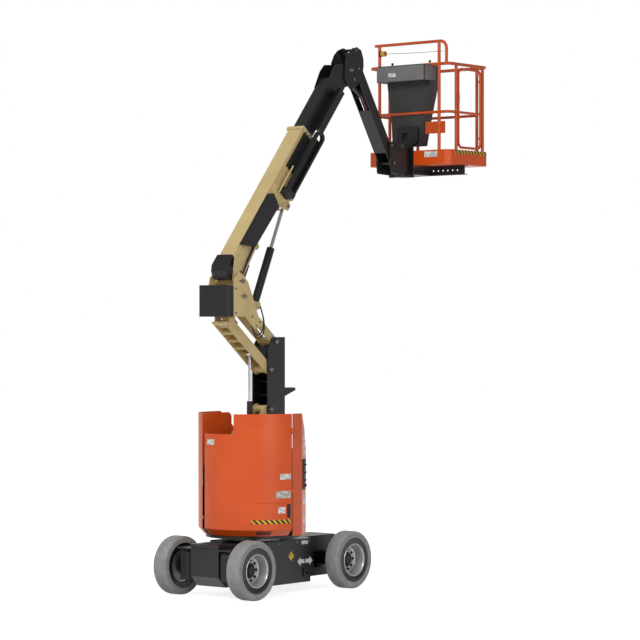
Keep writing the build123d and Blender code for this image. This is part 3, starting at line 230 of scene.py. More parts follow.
def make_materials():
    """Every finish on the machine, by the name used in the tables below."""
    return {
        # orange powder coat, baked on sheet steel: satin gloss with a faint orange peel; its lighter orange
        # edges are partly painted highlight and partly wear
        "orange": surface("powder_coat_orange", "#E8590C", "#E05208", 0.38, coat=0.12, grain=3.0, bump=0.035,
                          edge="#F07A34", edge_amount=0.3, dust=0.03),
        # the same coat on bent tube, darker as painted shade, a little duller where hands and boots rub it;
        # lighter edges are painted highlight and wear
        "orange_tube": surface("powder_coat_orange_tube", "#D6540E", "#CB4D0B", 0.42, coat=0.15, cloud=140.0,
                               grain=2.0, bump=0.03, edge="#E58A4E", edge_amount=0.4, round_mm=2.0),
        # cream two-pack paint sprayed on welded steel: soft sheen, greyer in the corners; its lighter cream
        # edges are partly painted highlight and partly wear
        "cream": surface("two_pack_cream", "#DCC48C", "#D2B981", 0.45, coat=0.12, cloud=260.0, grain=2.2,
                         bump=0.03, edge="#EADDB8", edge_amount=0.5, dust=0.10),
        # black chassis enamel over shot-blasted plate: semi-gloss, edges lighter grey, partly polished by use
        # and partly painted highlight
        "black": surface("chassis_enamel_black", "#0B0B0C", "#111112", 0.44, coat=0.08, cloud=180.0,
                         grain=1.8, bump=0.05, edge="#3A3B3C", edge_amount=0.5, dust=0.05),
        # black enamel on castings: the sand-cast skin shows as a coarse pebble
        "cast": surface("enamelled_casting_black", "#0F0F10", "#161617", 0.55, cloud=90.0, grain=5.0,
                        bump=0.35, edge="#3C3D3E", edge_amount=0.45, round_mm=6.0, dust=0.05),
        # grey non-marking rubber, moulded: dull, with a chalky bloom and lighter shoulders, partly scuffs and
        # partly painted highlight
        "tyre": surface("non_marking_rubber_grey", "#A3A3A2", "#959594", 0.82, spread=0.04, cloud=70.0,
                        grain=1.2, bump=0.12, edge="#BDBDBB", edge_amount=0.4, round_mm=5.0),
        # zinc-rich silver paint on the pressed rim: metallic flake under a dull clear
        "rim": surface("silver_rim_paint", "#C9CACB", "#B7B8BA", 0.36, metallic=0.55, cloud=60.0, grain=0.9,
                       bump=0.02, edge="#E6E6E6", edge_amount=0.3, round_mm=2.0),
        # hard-chromed and ground cylinder rod: near mirror with a whisper of drawn haze
        "chrome": surface("hard_chrome_rod", "#D9DADC", "#CFD0D3", 0.12, spread=0.04, metallic=1.0,
                          cloud=40.0, grain=0.6, bump=0.002),
        # machined pin steel: fine turning haze, oily brown drift
        "steel": surface("turned_pin_steel", "#8E8C88", "#7B7873", 0.34, metallic=1.0, cloud=30.0, grain=0.7,
                         bump=0.01, edge="#C8C6C2", edge_amount=0.4, round_mm=1.0),
        # grey rotationally moulded console plastic: even, faintly mottled, satin
        "console": surface("moulded_console_grey", "#383838", "#323232", 0.55, cloud=200.0, grain=1.5,
                           bump=0.06, edge="#57585A", edge_amount=0.4, round_mm=5.0),
        # lighter grey moulding of the console's head
        "console_head": surface("moulded_head_grey", "#7C7B7A", "#737271", 0.50, cloud=160.0, grain=1.5,
                                bump=0.05, edge="#9A9A98", edge_amount=0.4, round_mm=4.0),
        # black moulded plastic covers: leathery moulded grain
        "plastic": surface("moulded_cover_black", "#101011", "#171718", 0.55, cloud=120.0, grain=1.6,
                           bump=0.08, edge="#3C3D40", edge_amount=0.4, round_mm=3.0),
        # rubber hose cover, extruded: dull with a wiped sheen
        "hose": surface("hose_cover_rubber", "#151515", "#1E1E1E", 0.55, cloud=30.0, grain=0.8, bump=0.02),
        # pale sheathed cable
        "cable": surface("cable_sheath_pale", "#CFCDC6", "#BDBBB3", 0.48, cloud=20.0, grain=0.7, bump=0.01),
        # yellow injection-moulded reel body, slightly translucent look, glossy
        "yellow": surface("moulded_reel_yellow", "#E8B21A", "#DDA512", 0.34, coat=0.3, cloud=40.0, grain=1.0,
                          bump=0.02),
        # red moulded knob plastic
        "red": surface("moulded_knob_red", "#B5221B", "#A01C16", 0.32, coat=0.3, cloud=20.0, grain=0.8,
                       bump=0.01),
        "label_white": print_label("vinyl_label_white", "#F2F1EE", "#6C6C6C", 9.0, 30.0, 0.45),
        "label_pale": print_label("vinyl_label_pale", "#DFDCD3", "#55544F", 11.0, 26.0, 0.55),
        "label_yellow": print_label("vinyl_label_yellow", "#EBCB2B", "#2B2A20", 12.0, 24.0, 0.45),
        "label_arrow": surface("vinyl_arrow_white", "#F0F0EE", "#E4E4E1", 0.4, cloud=60.0, grain=1.0,
                               bump=0.01),
        "tape": hazard_tape("hazard_tape", 62.0),
    }


# ---------------------------------------------------------------- mesh helpers
def link(name, data, material, body, replaces=()):
    """Puts a mesh or curve in the scene, on its body and with its finish."""
    obj = bpy.data.objects.new(name, data)
    bpy.context.scene.collection.objects.link(obj)
    data.materials.append(material)
    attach(obj, body)
    if replaces:
        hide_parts(*replaces)
    return obj


def piece(name, bm, material, body, replaces=(), smooth_deg=35):
    """Finishes a bmesh as one smooth-shaded piece with its faces outward."""
    bmesh.ops.remove_doubles(bm, verts=bm.verts, dist=1e-6)
    bmesh.ops.recalc_face_normals(bm, faces=bm.faces)
    mesh = bpy.data.meshes.new(name)
    bm.to_mesh(mesh)
    bm.free()
    mesh.shade_smooth()
    mesh.set_sharp_from_angle(angle=radians(smooth_deg))
    return link(name, mesh, material, body, replaces)


def lathe(bm, profile, centre, axis, steps=72):
    """Turns a closed profile of (axial, radius) mm about an axis through centre."""
    turn = axis.to_track_quat("Z", "Y").to_matrix().to_4x4()
    place = Matrix.Translation(centre) @ turn
    verts = [bm.verts.new(place @ Vector((r / 1000, 0, a / 1000))) for a, r in profile]
    edges = [bm.edges.new((verts[i], verts[(i + 1) % len(verts)])) for i in range(len(verts))]
    bmesh.ops.spin(bm, geom=verts + edges, cent=centre, axis=axis, angle=2 * pi, steps=steps, use_merge=True)


def arc(cx, cy, radius, from_deg, to_deg, steps=6):
    """Points of an arc, for profiles."""
    span = (to_deg - from_deg) / steps
    return [(cx + radius * cos(radians(from_deg + i * span)), cy + radius * sin(radians(from_deg + i * span)))
            for i in range(steps + 1)]


def rod(bm, a, b, radius, segments=20, radius_b=None):
    """Round bar from a to b, radii in mm."""
    axis = b - a
    place = Matrix.Translation((a + b) / 2) @ axis.to_track_quat("Z", "Y").to_matrix().to_4x4()
    bmesh.ops.create_cone(bm, cap_ends=True, segments=segments, radius1=radius / 1000,
                          radius2=(radius if radius_b is None else radius_b) / 1000, depth=axis.length,
                          matrix=place)


def block(bm, centre, u, v, size, bevel=2.0, steps=2):
    """Box about centre with its sides along u, v and their normal; size and bevel in mm."""
    u, v = u.normalized(), v.normalized()
    w = u.cross(v)
    turn = Matrix((u, v, w)).transposed().to_4x4()
    scale = Matrix.Diagonal((size[0] / 1000, size[1] / 1000, size[2] / 1000, 1.0))
    made = bmesh.ops.create_cube(bm, size=1.0, matrix=Matrix.Translation(centre) @ turn @ scale)
    if bevel:
        edges = list({e for vert in made["verts"] for e in vert.link_edges})
        bmesh.ops.bevel(bm, geom=edges, offset=bevel / 1000, segments=steps, affect="EDGES", profile=0.5)


def sheet(bm, points, offset):
    """Flat plate: a closed outline of points and the vector of its thickness."""
    face = bm.faces.new([bm.verts.new(p) for p in points])
    made = bmesh.ops.extrude_face_region(bm, geom=[face])
    bmesh.ops.translate(bm, verts=[g for g in made["geom"] if isinstance(g, bmesh.types.BMVert)], vec=offset)


def bolt(bm, centre, axis, across, height):
    """Hexagon bolt head on a washer, sizes in mm."""
    axis = axis.normalized()
    rod(bm, centre, centre + axis * 0.002, across * 0.72, 20)
    rod(bm, centre + axis * 0.0018, centre + axis * (height / 1000), across * 0.56, 6, across * 0.5)


def pin_head(bm, centre, axis, radius, keeper=True):
    """End of a pivot pin: chamfered head, recess, and the keeper plate's two bolts."""
    axis = axis.normalized()
    profile = ((0, 0.1), (0, radius), (5, radius), (8, radius - 3), (8, radius * 0.45), (5, radius * 0.4),
               (5, 0.1))
    lathe(bm, profile, centre, axis, 28)
    if keeper:
        side = axis.cross(Vector((0, 0, 1))).normalized()
        for sign in (-1, 1):
            bolt(bm, centre + side * (sign * radius * 1.45 / 1000), axis, 13, 8)


def flat_uv(obj, u, v):
    """UV in metres along two directions."""
    layer = obj.data.uv_layers.new(name="metres")
    for loop in obj.data.loops:
        p = obj.data.vertices[loop.vertex_index].co
        layer.data[loop.index].uv = (p.dot(u), p.dot(v))


def label(name, centre, u, v, size, material, body):
    """Thin rounded label lying in the plane of u and v."""
    bm = bmesh.new()
    block(bm, centre, u, v, (size[0], size[1], 1.2), 0.4, 1)
    made = piece(name, bm, material, body)
    flat_uv(made, u.normalized(), v.normalized())
    return made


def hood_patch(name, from_deg, to_deg, z0, z1, material, body, lift=0.4, thick=0.8):
    """Film or plate that follows the hood's curve, with UV in metres round and up."""
    bm = bmesh.new()
    inner, outer = HOOD_R + lift, HOOD_R + lift + thick
    corners = ((inner, z0), (outer, z0), (outer, z1), (inner, z1))
    verts = [bm.verts.new(on_hood(from_deg, r, z)) for r, z in corners]
    edges = [bm.edges.new((verts[i], verts[(i + 1) % 4])) for i in range(4)]
    ends = [bm.faces.new(verts)]
    steps = max(2, int(abs(to_deg - from_deg) / 2))
    made = bmesh.ops.spin(bm, geom=verts + edges, cent=at(0, 0, 0), axis=(0, 0, 1),
                          angle=radians(to_deg - from_deg), steps=steps)
    last = [g for g in made["geom_last"] if isinstance(g, bmesh.types.BMVert)]
    ends.append(bmesh.ops.contextual_create(bm, geom=last)["faces"][0])
    obj = piece(name, bm, material, body)
    layer = obj.data.uv_layers.new(name="metres")
    for loop in obj.data.loops:
        p = obj.data.vertices[loop.vertex_index].co - at(0, 0, 0)
        turn = atan2(p.y, p.x) % (2 * pi)
        layer.data[loop.index].uv = (turn * HOOD_R / 1000, p.z)
    return obj


def hose(name, points, radius, material, body, order=4):
    """Bent hose held at both ends, as a smooth NURBS line through the air."""
    curve = bpy.data.curves.new(name, "CURVE")
    curve.dimensions = "3D"
    curve.bevel_depth = radius / 1000
    curve.bevel_resolution = 4
    curve.use_fill_caps = True
    spline = curve.splines.new("NURBS")
    spline.points.add(len(points) - 1)
    for target, p in zip(spline.points, points):
        target.co = (*p, 1.0)
    spline.order_u = order
    spline.use_endpoint_u = True
    spline.resolution_u = 8
    return link(name, curve, material, body)


# ---------------------------------------------------------------- settings
class BoomLiftFinish(bpy.types.PropertyGroup):
    """What can be set for the looks of the lift."""
    lathe_steps: bpy.props.IntProperty(name="Wheel segments", default=96, min=24)
    shoulder: bpy.props.FloatProperty(name="Tyre shoulder, mm", default=26.0, min=5.0)
    key_power: bpy.props.FloatProperty(name="Key lamp, W", default=1500.0, min=0.0)
    world_light: bpy.props.FloatProperty(name="World strength", default=0.35, min=0.0)


MATERIALS = {}
SIDE_X = Vector((1, 0, 0))
LEFT = Vector((0, 1, 0))
UP = Vector((0, 0, 1))

# finish of each CAD node that stays in view
NODE_FINISH = {
    "black": ("chassis_frame", "tie_down_front_left", "tie_down_front_right", "tie_down_rear_left",
              "tie_down_rear_right", "front_axle", "turntable_base", "mid_upright", "fly_boom", "jib_knuckle",
              "jib_arm", "jib_link", "jib_head", "platform_support", "lift_cylinder", "level_cylinder",
              "tower_cylinder", "jib_cylinder"),
    "cast": ("rear_axle", "steer_knuckle_left", "steer_knuckle_right", "counterweight"),
    "steel": ("swing_bearing", "tie_rod"),
    "plastic": ("power_pack", "boom_tail_cover", "hose_carrier"),
    "orange": ("hood_right", "hood_left", "side_panel_right", "side_panel_left", "platform_floor"),
    "orange_tube": ("platform_rails", "gate"),
    "cream": ("lower_arm", "lower_link", "upper_arm", "upper_link", "upright", "base_boom"),
    "chrome": ("tower_rod", "lift_rod", "level_rod", "jib_rod"),
    "console": ("control_console",),
}


class LIFT_OT_frame(bpy.types.Operator):
    """Gives each CAD node its finish"""
    bl_idname = "lift.frame"
    bl_label = "Finish the CAD frame"

    def execute(self, context):
        MATERIALS.clear()
        MATERIALS.update(make_materials())
        for finish, nodes in NODE_FINISH.items():
            for name in nodes:
                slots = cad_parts[name].data.materials
                slots.clear()
                slots.append(MATERIALS[finish])
        return {"FINISHED"}


class LIFT_OT_wheels(bpy.types.Operator):
    """Solid tyres, rims, hubs and wheel bolts"""
    bl_idname = "lift.wheels"
    bl_label = "Build the wheels"

    def execute(self, context):
        steps = context.scene.boom_lift.lathe_steps
        shoulder = context.scene.boom_lift.shoulder
        outer, half, bead = 317.0, 88.5, 244.5
        crown = outer - shoulder
        tyre_profile = ([(80 - half, bead), (-half + 1, bead), (-half, bead + 8), (-half, crown)][1:]
                        + arc(-half + shoulder, crown, shoulder, 180, 90)[1:]
                        + arc(half - shoulder, crown, shoulder, 90, 0)
                        + [(half, bead + 30), (half - 2.5, bead + 24), (half - 2.5, bead + 8),
                           (half - 1, bead)])
        # black disc that the tyre is pressed on, then the silver dish inside it
        disc_profile = [(-76, 243.5), (82, 243.5), (84, 241), (84, 205), (80, 198), (80, 181.5), (-76, 181.5)]
        dish_profile = [(-60, 180.5), (83, 180.5), (87, 178), (87, 172), (83, 169), (70, 166), (-20, 146),
                        (-27, 138), (-27, 84), (-34, 84), (-34, 142), (-60, 160)]
        hub_profile = [(-66, 30), (-66, 84), (-22, 84), (-18, 80), (-18, 62), (6, 56), (12, 50), (12, 24),
                       (8, 20), (8, 0.1), (-10, 0.1), (-10, 30)]
        for name, x, sign in AXLES:
            centre = at(x, sign * 521, 317.5)
            axis = Vector((0, sign, 0))
            body = "wheel_" + name
            bm = bmesh.new()
            lathe(bm, tyre_profile, centre, axis, steps)
            piece("solid_tyre_" + name, bm, MATERIALS["tyre"], body, ("tyre_" + name,))
            bm = bmesh.new()
            lathe(bm, disc_profile, centre, axis, steps)
            piece("wheel_disc_" + name, bm, MATERIALS["black"], body, ("rim_" + name,))
            bm = bmesh.new()
            lathe(bm, dish_profile, centre, axis, steps)
            piece("rim_dish_" + name, bm, MATERIALS["rim"], body)
            bm = bmesh.new()
            lathe(bm, hub_profile, centre, axis, 48)
            for i in range(9):
                a = 2 * pi * i / 9
                spot = centre + Vector((cos(a), 0, sin(a))) * 0.108 + axis * -0.027
                bolt(bm, spot, axis, 22, 16)
            piece("hub_" + name, bm, MATERIALS["cast"], body)
        return {"FINISHED"}


class LIFT_OT_hoods(bpy.types.Operator):
    """Labels, warning tape, latch and vent on the hoods"""
    bl_idname = "lift.hoods"
    bl_label = "Trim the hoods"

    def execute(self, context):
        right = "hood_right_body"
        # columns: name, from, to (degrees round the slew axis), low, high, finish
        patches = (
            ("hood_label_tail", 165.2, 176.4, 1631, 1690, "label_white"),
            ("hood_label_upper", -110.8, -97.2, 1262, 1322, "label_white"),
            ("hood_label_chart", -115.2, -97.0, 1062, 1142, "label_pale"),
            ("hood_label_lower", -113.0, -104.4, 900, 968, "label_white"),
            ("hood_tape", -141.6, -97.0, 790, 834, "tape"),
            ("hood_latch_slot", -102.4, -97.6, 850, 996, "plastic"),
        )
        for name, from_deg, to_deg, low, high, finish in patches:
            hood_patch(name, from_deg, to_deg, low, high, MATERIALS[finish], right)
        # pressed step of the lower hood panel
        bm = bmesh.new()
        for z in (1012, 1018):
            for i in range(20):
                a, b = -138.6 + i * 2.1, -138.6 + (i + 1) * 2.1
                rod(bm, on_hood(a, HOOD_R + 0.2, z), on_hood(b, HOOD_R + 0.2, z), 1.6, 8)
        piece("hood_step", bm, MATERIALS["orange"], right)
        # louvred vent on the chamfer along the hood's foot
        bm = bmesh.new()
        for low, high in ((669, 679), (685, 695), (701, 711)):
            for i in range(10):
                a, b = -136.4 + 1.64 * i, -136.4 + 1.64 * (i + 1)
                corners = [on_hood(d, 540 + (z - 655) * 6 / 7 + 1, z) for d, z in
                           ((a, low), (b, low), (b, high), (a, high))]
                sheet(bm, corners, (on_hood(a, 601, 0) - on_hood(a, 600, 0)) * 2)
        piece("hood_vent", bm, MATERIALS["plastic"], right)
        # pale pull cable that hangs out of the gap between the hoods
        loop = [on_hood(d, radius, z) for d, radius, z in
                ((155.0, 603, 1392), (156.4, 618, 1375), (158.2, 622, 1290), (157.4, 614, 1205),
                 (155.4, 603, 1186))]
        hose("pull_cable", loop, 4, MATERIALS["cable"], "hood_left_body")
        # latch on the rear edge of the left hood
        bm = bmesh.new()
        hub = on_hood(156.5, HOOD_R + 2, 845)
        out = (on_hood(156.5, 1, 0) - at(0, 0, 0)).normalized()
        latch = ((0, 0.1), (0, 17), (4, 17), (6, 14), (6, 8), (14, 7), (14, 0.1))
        lathe(bm, latch, hub - out * 0.004, out, 28)
        piece("hood_latch", bm, MATERIALS["steel"], "turntable")
        return {"FINISHED"}


class LIFT_OT_ground_panel(bpy.types.Operator):
    """Ground controls, stop button and labels on the front facets"""
    bl_idname = "lift.ground_panel"
    bl_label = "Build the ground controls"

    def execute(self, context):
        for side_name, sign in (("right", -1), ("left", 1)):
            run = Vector((210, sign * -118, 0)).normalized()
            out = Vector((0.49, sign * 0.872, 0)).normalized()
            start = at(120, sign * 588, 0)

            def spot(reach, z, lift=0.0):
                return start + run * (reach / 1000) + out * (lift / 1000) + UP * (z / 1000)

            for i, (z, height) in enumerate(((1690, 46), (1620, 60), (1540, 52))):
                label(f"panel_label_{side_name}_{i}", spot(125, z, 0.9), run, UP, (96, height),
                      MATERIALS["label_white"], "turntable")
            if sign < 0:
                bm = bmesh.new()
                block(bm, spot(126, 1300, 4), run, UP, (176, 330, 8), 6)
                for row in range(3):
                    for column in range(2):
                        base = spot(92 + 66 * column, 1400 - 84 * row, 7)
                        lathe(bm, ((0, 0.1), (0, 13), (4, 13), (6, 11), (6, 0.1)), base, out, 20)
                        rod(bm, base, base + out * 0.022 + UP * 0.006, 3.4, 12, 4.4)
                piece("ground_controls", bm, MATERIALS["plastic"], "turntable")
                bm = bmesh.new()
                lathe(bm, STOP_BUTTON, spot(126, 1180, 8), out, 28)
                piece("ground_stop_button", bm, MATERIALS["red"], "turntable")
                label("panel_label_low", spot(126, 1010, 0.9), run, UP, (120, 66), MATERIALS["label_white"],
                      "turntable")
                label("panel_label_foot", spot(126, 800, 0.9), run, UP, (110, 54), MATERIALS["label_white"],
                      "turntable")
        return {"FINISHED"}


class LIFT_OT_chassis(bpy.types.Operator):
    """Chassis trim: labels, arrows and bolts"""
    bl_idname = "lift.chassis"
    bl_label = "Trim the chassis"

    def execute(self, context):
        for sign, side_name in ((-1, "right"), (1, "left")):
            out = Vector((0, sign, 0))
            y = sign * 345.8
            label(f"chassis_label_{side_name}", at(460, y, 535), SIDE_X, UP, (110, 42),
                  MATERIALS["label_white"], "chassis")
            diamond = Vector((1, 0, 1)).normalized()
            label(f"chassis_sign_{side_name}", at(230, y, 400), diamond, diamond.cross(out), (74, 74),
                  MATERIALS["label_yellow"], "chassis")
            # drive-direction arrows, both white, one pointing each way
            for x, way in ((395, -1), (535, 1)):
                bm = bmesh.new()
                points = ((-60, -22), (6, -22), (6, -50), (62, 0), (6, 50), (6, 22), (-60, 22))
                sheet(bm, [at(x + way * px, y, 330 + pz) for px, pz in points], out * 0.0012)
                piece(f"arrow_{side_name}_{x}", bm, MATERIALS["label_arrow"], "chassis")
            bm = bmesh.new()
            for x in (-300, -280, 20, 320, 540):
                bolt(bm, at(x, sign * 345, 545 if x > -290 else 180), out, 17, 9)
            piece(f"chassis_bolts_{side_name}", bm, MATERIALS["steel"], "chassis")
        # hub flange bolts on the drive units, seen inside the rear wheels
        bm = bmesh.new()
        for sign in (-1, 1):
            for i in range(8):
                a = 2 * pi * i / 8 + 0.2
                seat = at(-640 + 88 * cos(a), sign * 388.5, 317.5 + 88 * sin(a))
                bolt(bm, seat, Vector((0, sign, 0)), 15, 9)
        piece("drive_flange_bolts", bm, MATERIALS["steel"], "chassis")
        return {"FINISHED"}


class LIFT_OT_tower(bpy.types.Operator):
    """Pin heads, bolts and hoses of the tower and upright"""
    bl_idname = "lift.tower"
    bl_label = "Trim the tower"

    def execute(self, context):
        bm = bmesh.new()
        for x, z in TOWER_PINS:
            for sign in (-1, 1):
                pin_head(bm, at(x, sign * 125.5, z), Vector((0, sign, 0)), 24)
        piece("mid_pin_heads", bm, MATERIALS["steel"], "mid_upright_body")
        bm = bmesh.new()
        for sign in (-1, 1):
            out = Vector((0, sign, 0))
            for x, z in (BOOM_PIN, (-373.6, 3230.1)):
                pin_head(bm, at(x, sign * 190, z), out, 26)
            for x, z in ((-500, 3050), (-500, 3310), (-160, 2910), (-110, 2950), (-230, 3010)):
                bolt(bm, at(x, sign * 184, z), out, 17, 10)
        piece("upright_pin_heads", bm, MATERIALS["steel"], "upright_body")
        # two hoses leave the upright and loop down to the tower
        route = ((-60, -150, 3120), (-20, -168, 3010), (-30, -176, 2860), (-120, -176, 2790),
                 (-205, -170, 2830), (-215, -150, 2950))
        for i, drop in enumerate((0, 26)):
            points = [at(x + drop, y + drop * 0.4, z - drop * 1.4) for x, y, z in route]
            hose(f"upright_hose_{i}", points, 7, MATERIALS["hose"], "upright_body")
        return {"FINISHED"}


class LIFT_OT_boom(bpy.types.Operator):
    """Bolts, wear-pad screws, hoses, hose track and guide bar of the main boom"""
    bl_idname = "lift.boom"
    bl_label = "Trim the boom"

    def execute(self, context):
        body = "base_boom_body"
        bm = bmesh.new()
        for sign in (-1, 1):
            out = Vector((0, sign, 0))
            for reach in (2030,):
                for rise in (50, 99, 150):
                    bolt(bm, on_boom(reach, rise, sign * 118), out, 17, 8)
            for reach in (120, 300, 480):
                bolt(bm, on_boom(reach, 20, sign * 110), out, 17, 9)
            pin_head(bm, on_boom(1218, -172, sign * 70), out, 22, False)
        piece("boom_bolts", bm, MATERIALS["steel"], body)
        # hoses that run from the tail into the hose track
        for i in range(3):
            y = -118 - 13 * i
            points = [on_boom(90, -20 + 8 * i, y), on_boom(240, 30, y - 4), on_boom(420, 44, y - 3),
                      on_boom(590, 34 + 9 * i, y)]
            hose(f"boom_hose_{i}", points, 6, MATERIALS["hose"], body)
        # links of the hose track, one plate every 42 mm along each run
        bm = bmesh.new()
        for rise in (-35, 78):
            for i in range(17):
                centre = on_boom(1300 + 42 * i, rise, -230)
                run = on_boom(1, 0, 0) - on_boom(0, 0, 0)
                lift = on_boom(0, 1, 0) - on_boom(0, 0, 0)
                block(bm, centre, run, lift, (34, 20, 3), 1.2, 1)
        piece("hose_track_links", bm, MATERIALS["plastic"], body)
        # pale guide bar beside the track
        bm = bmesh.new()
        rod(bm, on_boom(1180, 112, -150), on_boom(1560, 112, -150), 9, 16)
        piece("guide_bar", bm, MATERIALS["cream"], body)
        return {"FINISHED"}


class LIFT_OT_jib(bpy.types.Operator):
    """Pin heads and hoses of the fly, the knuckle and the jib"""
    bl_idname = "lift.jib"
    bl_label = "Trim the jib"

    def execute(self, context):
        bm = bmesh.new()
        knuckle_pin = along(BOOM_PIN, BOOM_DEG, KNUCKLE_REACH)
        for sign in (-1, 1):
            out = Vector((0, sign, 0))
            pin_head(bm, at(knuckle_pin[0], sign * 110.5, knuckle_pin[1]), out, 25)
            for x, z in (JIB_PIN, (1670, 6048), (1635, 5713)):
                pin_head(bm, at(x, sign * 110.5, z), out, 17, False)
        piece("knuckle_pin_heads", bm, MATERIALS["steel"], "jib_knuckle_body")
        bm = bmesh.new()
        end = along(JIB_PIN, JIB_DEG, JIB_LEN)
        for sign in (-1, 1):
            for x, z in (end, (end[0] - 45, end[1] + 208)):
                pin_head(bm, at(x, sign * 110.5, z), Vector((0, sign, 0)), 17, False)
        piece("jib_head_pins", bm, MATERIALS["steel"], "jib_head_body")
        # hoses clipped inside the jib
        for i in range(3):
            y = -40 + 22 * i
            points = [on_jib(260 + 240 * k, -22 - 2 * (k % 2), y) for k in range(4)]
            hose(f"jib_hose_{i}", points, 6, MATERIALS["red" if i == 1 else "hose"], "jib_arm_body")
        return {"FINISHED"}


class LIFT_OT_platform(bpy.types.Operator):
    """Platform trim: warning tape, labels, console controls, sensor reel and cable"""
    bl_idname = "lift.platform"
    bl_label = "Trim the platform"

    def execute(self, context):
        body = "platform"
        for name, centre, u, size in (
                ("toe_tape_right", at(3210, -600.8, 4935), SIDE_X, (600, 42)),
                ("toe_tape_left", at(3210, 600.8, 4935), SIDE_X, (600, 42))):
            label(name, centre, u, UP, size, MATERIALS["tape"], body)
        label("toe_label", at(2789.0, -335, 4910), LEFT, UP, (190, 66), MATERIALS["label_white"], body)
        # console: lighter skin of the head, and the control strips before and behind the rail
        bm = bmesh.new()
        block(bm, at(2663.5, 20, 5862), UP, LEFT, (178, 690, 3), 2)
        for y in (-335.5, 375.5):
            block(bm, at(2785, y, 5862), SIDE_X, UP, (214, 178, 3), 2)
        piece("console_head", bm, MATERIALS["console_head"], body)
        face_z = RAIL_Z - 5
        bm = bmesh.new()
        block(bm, at(2869, 20, face_z + 3), SIDE_X, LEFT, (60, 680, 6), 2)
        block(bm, at(2729, 20, face_z + 3), SIDE_X, LEFT, (112, 680, 6), 2)
        piece("console_face", bm, MATERIALS["plastic"], body)
        bm = bmesh.new()
        for y in (-262, 290):
            lathe(bm, ((0, 0.1), (0, 27), (8, 25), (16, 16), (18, 0.1)), at(2869, y, face_z + 5), UP, 28)
            rod(bm, at(2869, y, face_z + 20), at(2869, y, face_z + 40), 9, 20, 8)
            lathe(bm, ((0, 0.1), (0, 11), (6, 15), (18, 15), (24, 8), (24, 0.1)), at(2869, y, face_z + 38),
                  UP, 28)
        for i in range(8):
            y = -160 + 42 * i
            rod(bm, at(2869, y, face_z + 6), at(2873, y, face_z + 30), 4, 12, 5)
            lathe(bm, ((0, 0.1), (0, 9), (5, 9), (7, 6), (7, 0.1)), at(2869, y, face_z + 6), UP, 16)
        piece("console_controls", bm, MATERIALS["plastic"], body)
        bm = bmesh.new()
        lathe(bm, STOP_BUTTON, at(2869, 218, face_z + 5), UP, 28)
        piece("console_stop_button", bm, MATERIALS["red"], body)
        label("console_label", at(2661.6, 140, 5850), LEFT, UP, (110, 46), MATERIALS["label_white"], body)
        # sensor reel on the hoop's post, its bracket, and the cable that it keeps taut over the console
        bm = bmesh.new()
        lathe(bm, ((-24, 0.1), (-24, 34), (-18, 34), (-16, 27), (16, 27), (18, 34), (24, 34), (24, 0.1)),
              at(2806, 372, 6127), LEFT, 36)
        piece("sensor_reel", bm, MATERIALS["yellow"], body)
        bm = bmesh.new()
        block(bm, at(2806, 412, 6127), LEFT, UP, (34, 62, 44), 3)
        piece("reel_bracket", bm, MATERIALS["plastic"], body)
        bm = bmesh.new()
        block(bm, at(2806, 343, 6127), LEFT, UP, (10, 30, 30), 2)
        piece("reel_nose", bm, MATERIALS["red"], body)
        hose("sensor_cable", [at(2806, 338, 6124), at(2808, 60, 6112), at(2810, -240, 6106),
                              at(2812, -508, 6106)],
             4, MATERIALS["cable"], body)
        # gate latch on the rear post of the gate's opening
        bm = bmesh.new()
        block(bm, at(2962, -600, 5560), SIDE_X, UP, (70, 120, 8), 3)
        piece("gate_latch", bm, MATERIALS["orange_tube"], body)
        return {"FINISHED"}


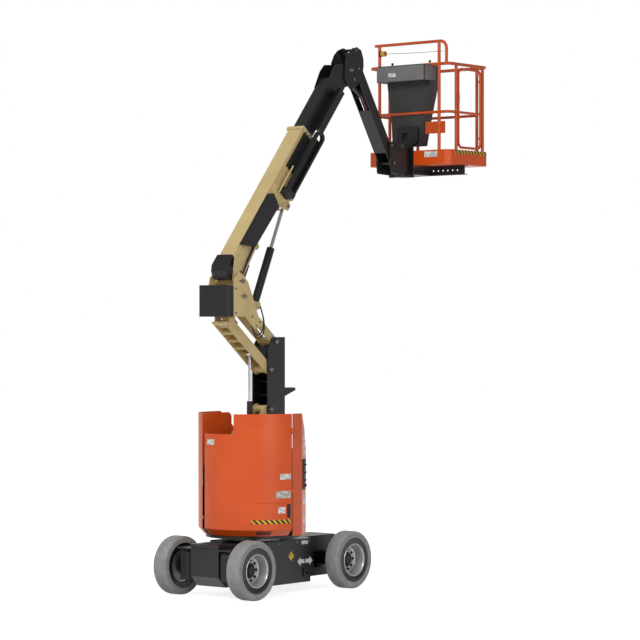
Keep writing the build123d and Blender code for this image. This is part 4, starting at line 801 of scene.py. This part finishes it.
class LIFT_OT_stage(bpy.types.Operator):
    """Floor, soft lamps, world and the camera"""
    bl_idname = "lift.stage"
    bl_label = "Set the stage"

    def execute(self, context):
        scene = context.scene
        camera = bpy.data.objects.new("camera", bpy.data.cameras.new("camera"))
        scene.collection.objects.link(camera)
        camera.data.sensor_width = 36.0
        camera.data.lens = CAMERA_LENS
        camera.data.clip_end = 400
        camera.location = CAMERA_PLACE
        camera.rotation_euler = Vector(CAMERA_AIM).to_track_quat("-Z", "Y").to_euler()
        scene.camera = camera

        mat, tree = blank("studio_floor_white")
        path = add(tree, "ShaderNodeLightPath").outputs
        seen = add(tree, "ShaderNodeMath", {0: path["Is Camera Ray"], 1: path["Is Glossy Ray"]},
                   operation="MAXIMUM")
        seen = add(tree, "ShaderNodeMath", {0: seen.outputs[0], 1: path["Is Transmission Ray"]},
                   operation="MAXIMUM")
        lit = add(tree, "ShaderNodeBsdfDiffuse", {"Color": linear("#CCCCCC")})
        glow = add(tree, "ShaderNodeEmission", {"Color": (1, 1, 1, 1), "Strength": 0.82})
        both = add(tree, "ShaderNodeAddShader", {0: lit.outputs[0], 1: glow.outputs[0]})
        pick = add(tree, "ShaderNodeMixShader", {0: seen.outputs[0], 1: lit.outputs[0], 2: both.outputs[0]})
        add(tree, "ShaderNodeOutputMaterial", {"Surface": pick.outputs[0]})
        mesh = bpy.data.meshes.new("studio_floor")
        bm = bmesh.new()
        bmesh.ops.create_grid(bm, x_segments=1, y_segments=1, size=60)
        bm.to_mesh(mesh)
        bm.free()
        floor = bpy.data.objects.new("studio_floor", mesh)
        scene.collection.objects.link(floor)
        mesh.materials.append(mat)

        world = bpy.data.worlds.new("studio_world")
        scene.world = world
        world.use_nodes = True
        tree = world.node_tree
        tree.nodes.clear()
        path = add(tree, "ShaderNodeLightPath").outputs
        seen = add(tree, "ShaderNodeMath", {0: path["Is Camera Ray"], 1: path["Is Transmission Ray"]},
                   operation="MAXIMUM")
        strength = ranged(tree, seen.outputs[0], 0.0, 1.0, scene.boom_lift.world_light, 1.0)
        ground = add(tree, "ShaderNodeBackground", {"Color": (1, 1, 1, 1), "Strength": strength})
        add(tree, "ShaderNodeOutputWorld", {"Surface": ground.outputs[0]})

        # large soft boxes; the strong one stands behind the camera, a little to its left
        # columns: name, place, size, share of the key's power
        lamps = (("key", (-16, -4, 12), 7.0, 1.0), ("fill", (-6, -17, 5), 8.0, 0.3),
                 ("rim", (10, 12, 10), 8.0, 0.3))
        for name, place, size, share in lamps:
            data = bpy.data.lights.new(name, "AREA")
            data.shape = "SQUARE"
            data.size = size
            data.energy = scene.boom_lift.key_power * share
            lamp = bpy.data.objects.new(name, data)
            lamp.location = place
            lamp.rotation_euler = (Vector((-0.8, 0, 2.6)) - Vector(place)).to_track_quat("-Z", "Y").to_euler()
            scene.collection.objects.link(lamp)

        scene.view_settings.view_transform = "Standard"
        return {"FINISHED"}


class LIFT_PT_panel(bpy.types.Panel):
    """Runs the building steps one by one"""
    bl_idname = "LIFT_PT_panel"
    bl_label = "Boom lift"
    bl_space_type = "VIEW_3D"
    bl_region_type = "UI"
    bl_category = "Boom lift"

    def draw(self, context):
        settings = context.scene.boom_lift
        for name in ("lathe_steps", "shoulder", "key_power", "world_light"):
            self.layout.prop(settings, name)
        for step in STEPS:
            self.layout.operator(step.bl_idname)


STEPS = (LIFT_OT_frame, LIFT_OT_wheels, LIFT_OT_hoods, LIFT_OT_ground_panel, LIFT_OT_chassis, LIFT_OT_tower,
         LIFT_OT_boom, LIFT_OT_jib, LIFT_OT_platform, LIFT_OT_stage)
CLASSES = (BoomLiftFinish, *STEPS, LIFT_PT_panel)


def register():
    for cls in CLASSES:
        bpy.utils.register_class(cls)
    bpy.types.Scene.boom_lift = bpy.props.PointerProperty(type=BoomLiftFinish)


def unregister():
    del bpy.types.Scene.boom_lift
    for cls in reversed(CLASSES):
        bpy.utils.unregister_class(cls)


def main():
    register()
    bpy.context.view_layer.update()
    bpy.ops.lift.frame()
    bpy.ops.lift.wheels()
    bpy.ops.lift.hoods()
    bpy.ops.lift.ground_panel()
    bpy.ops.lift.chassis()
    bpy.ops.lift.tower()
    bpy.ops.lift.boom()
    bpy.ops.lift.jib()
    bpy.ops.lift.platform()
    bpy.ops.lift.stage()


if __name__ == "__main__":
    main()
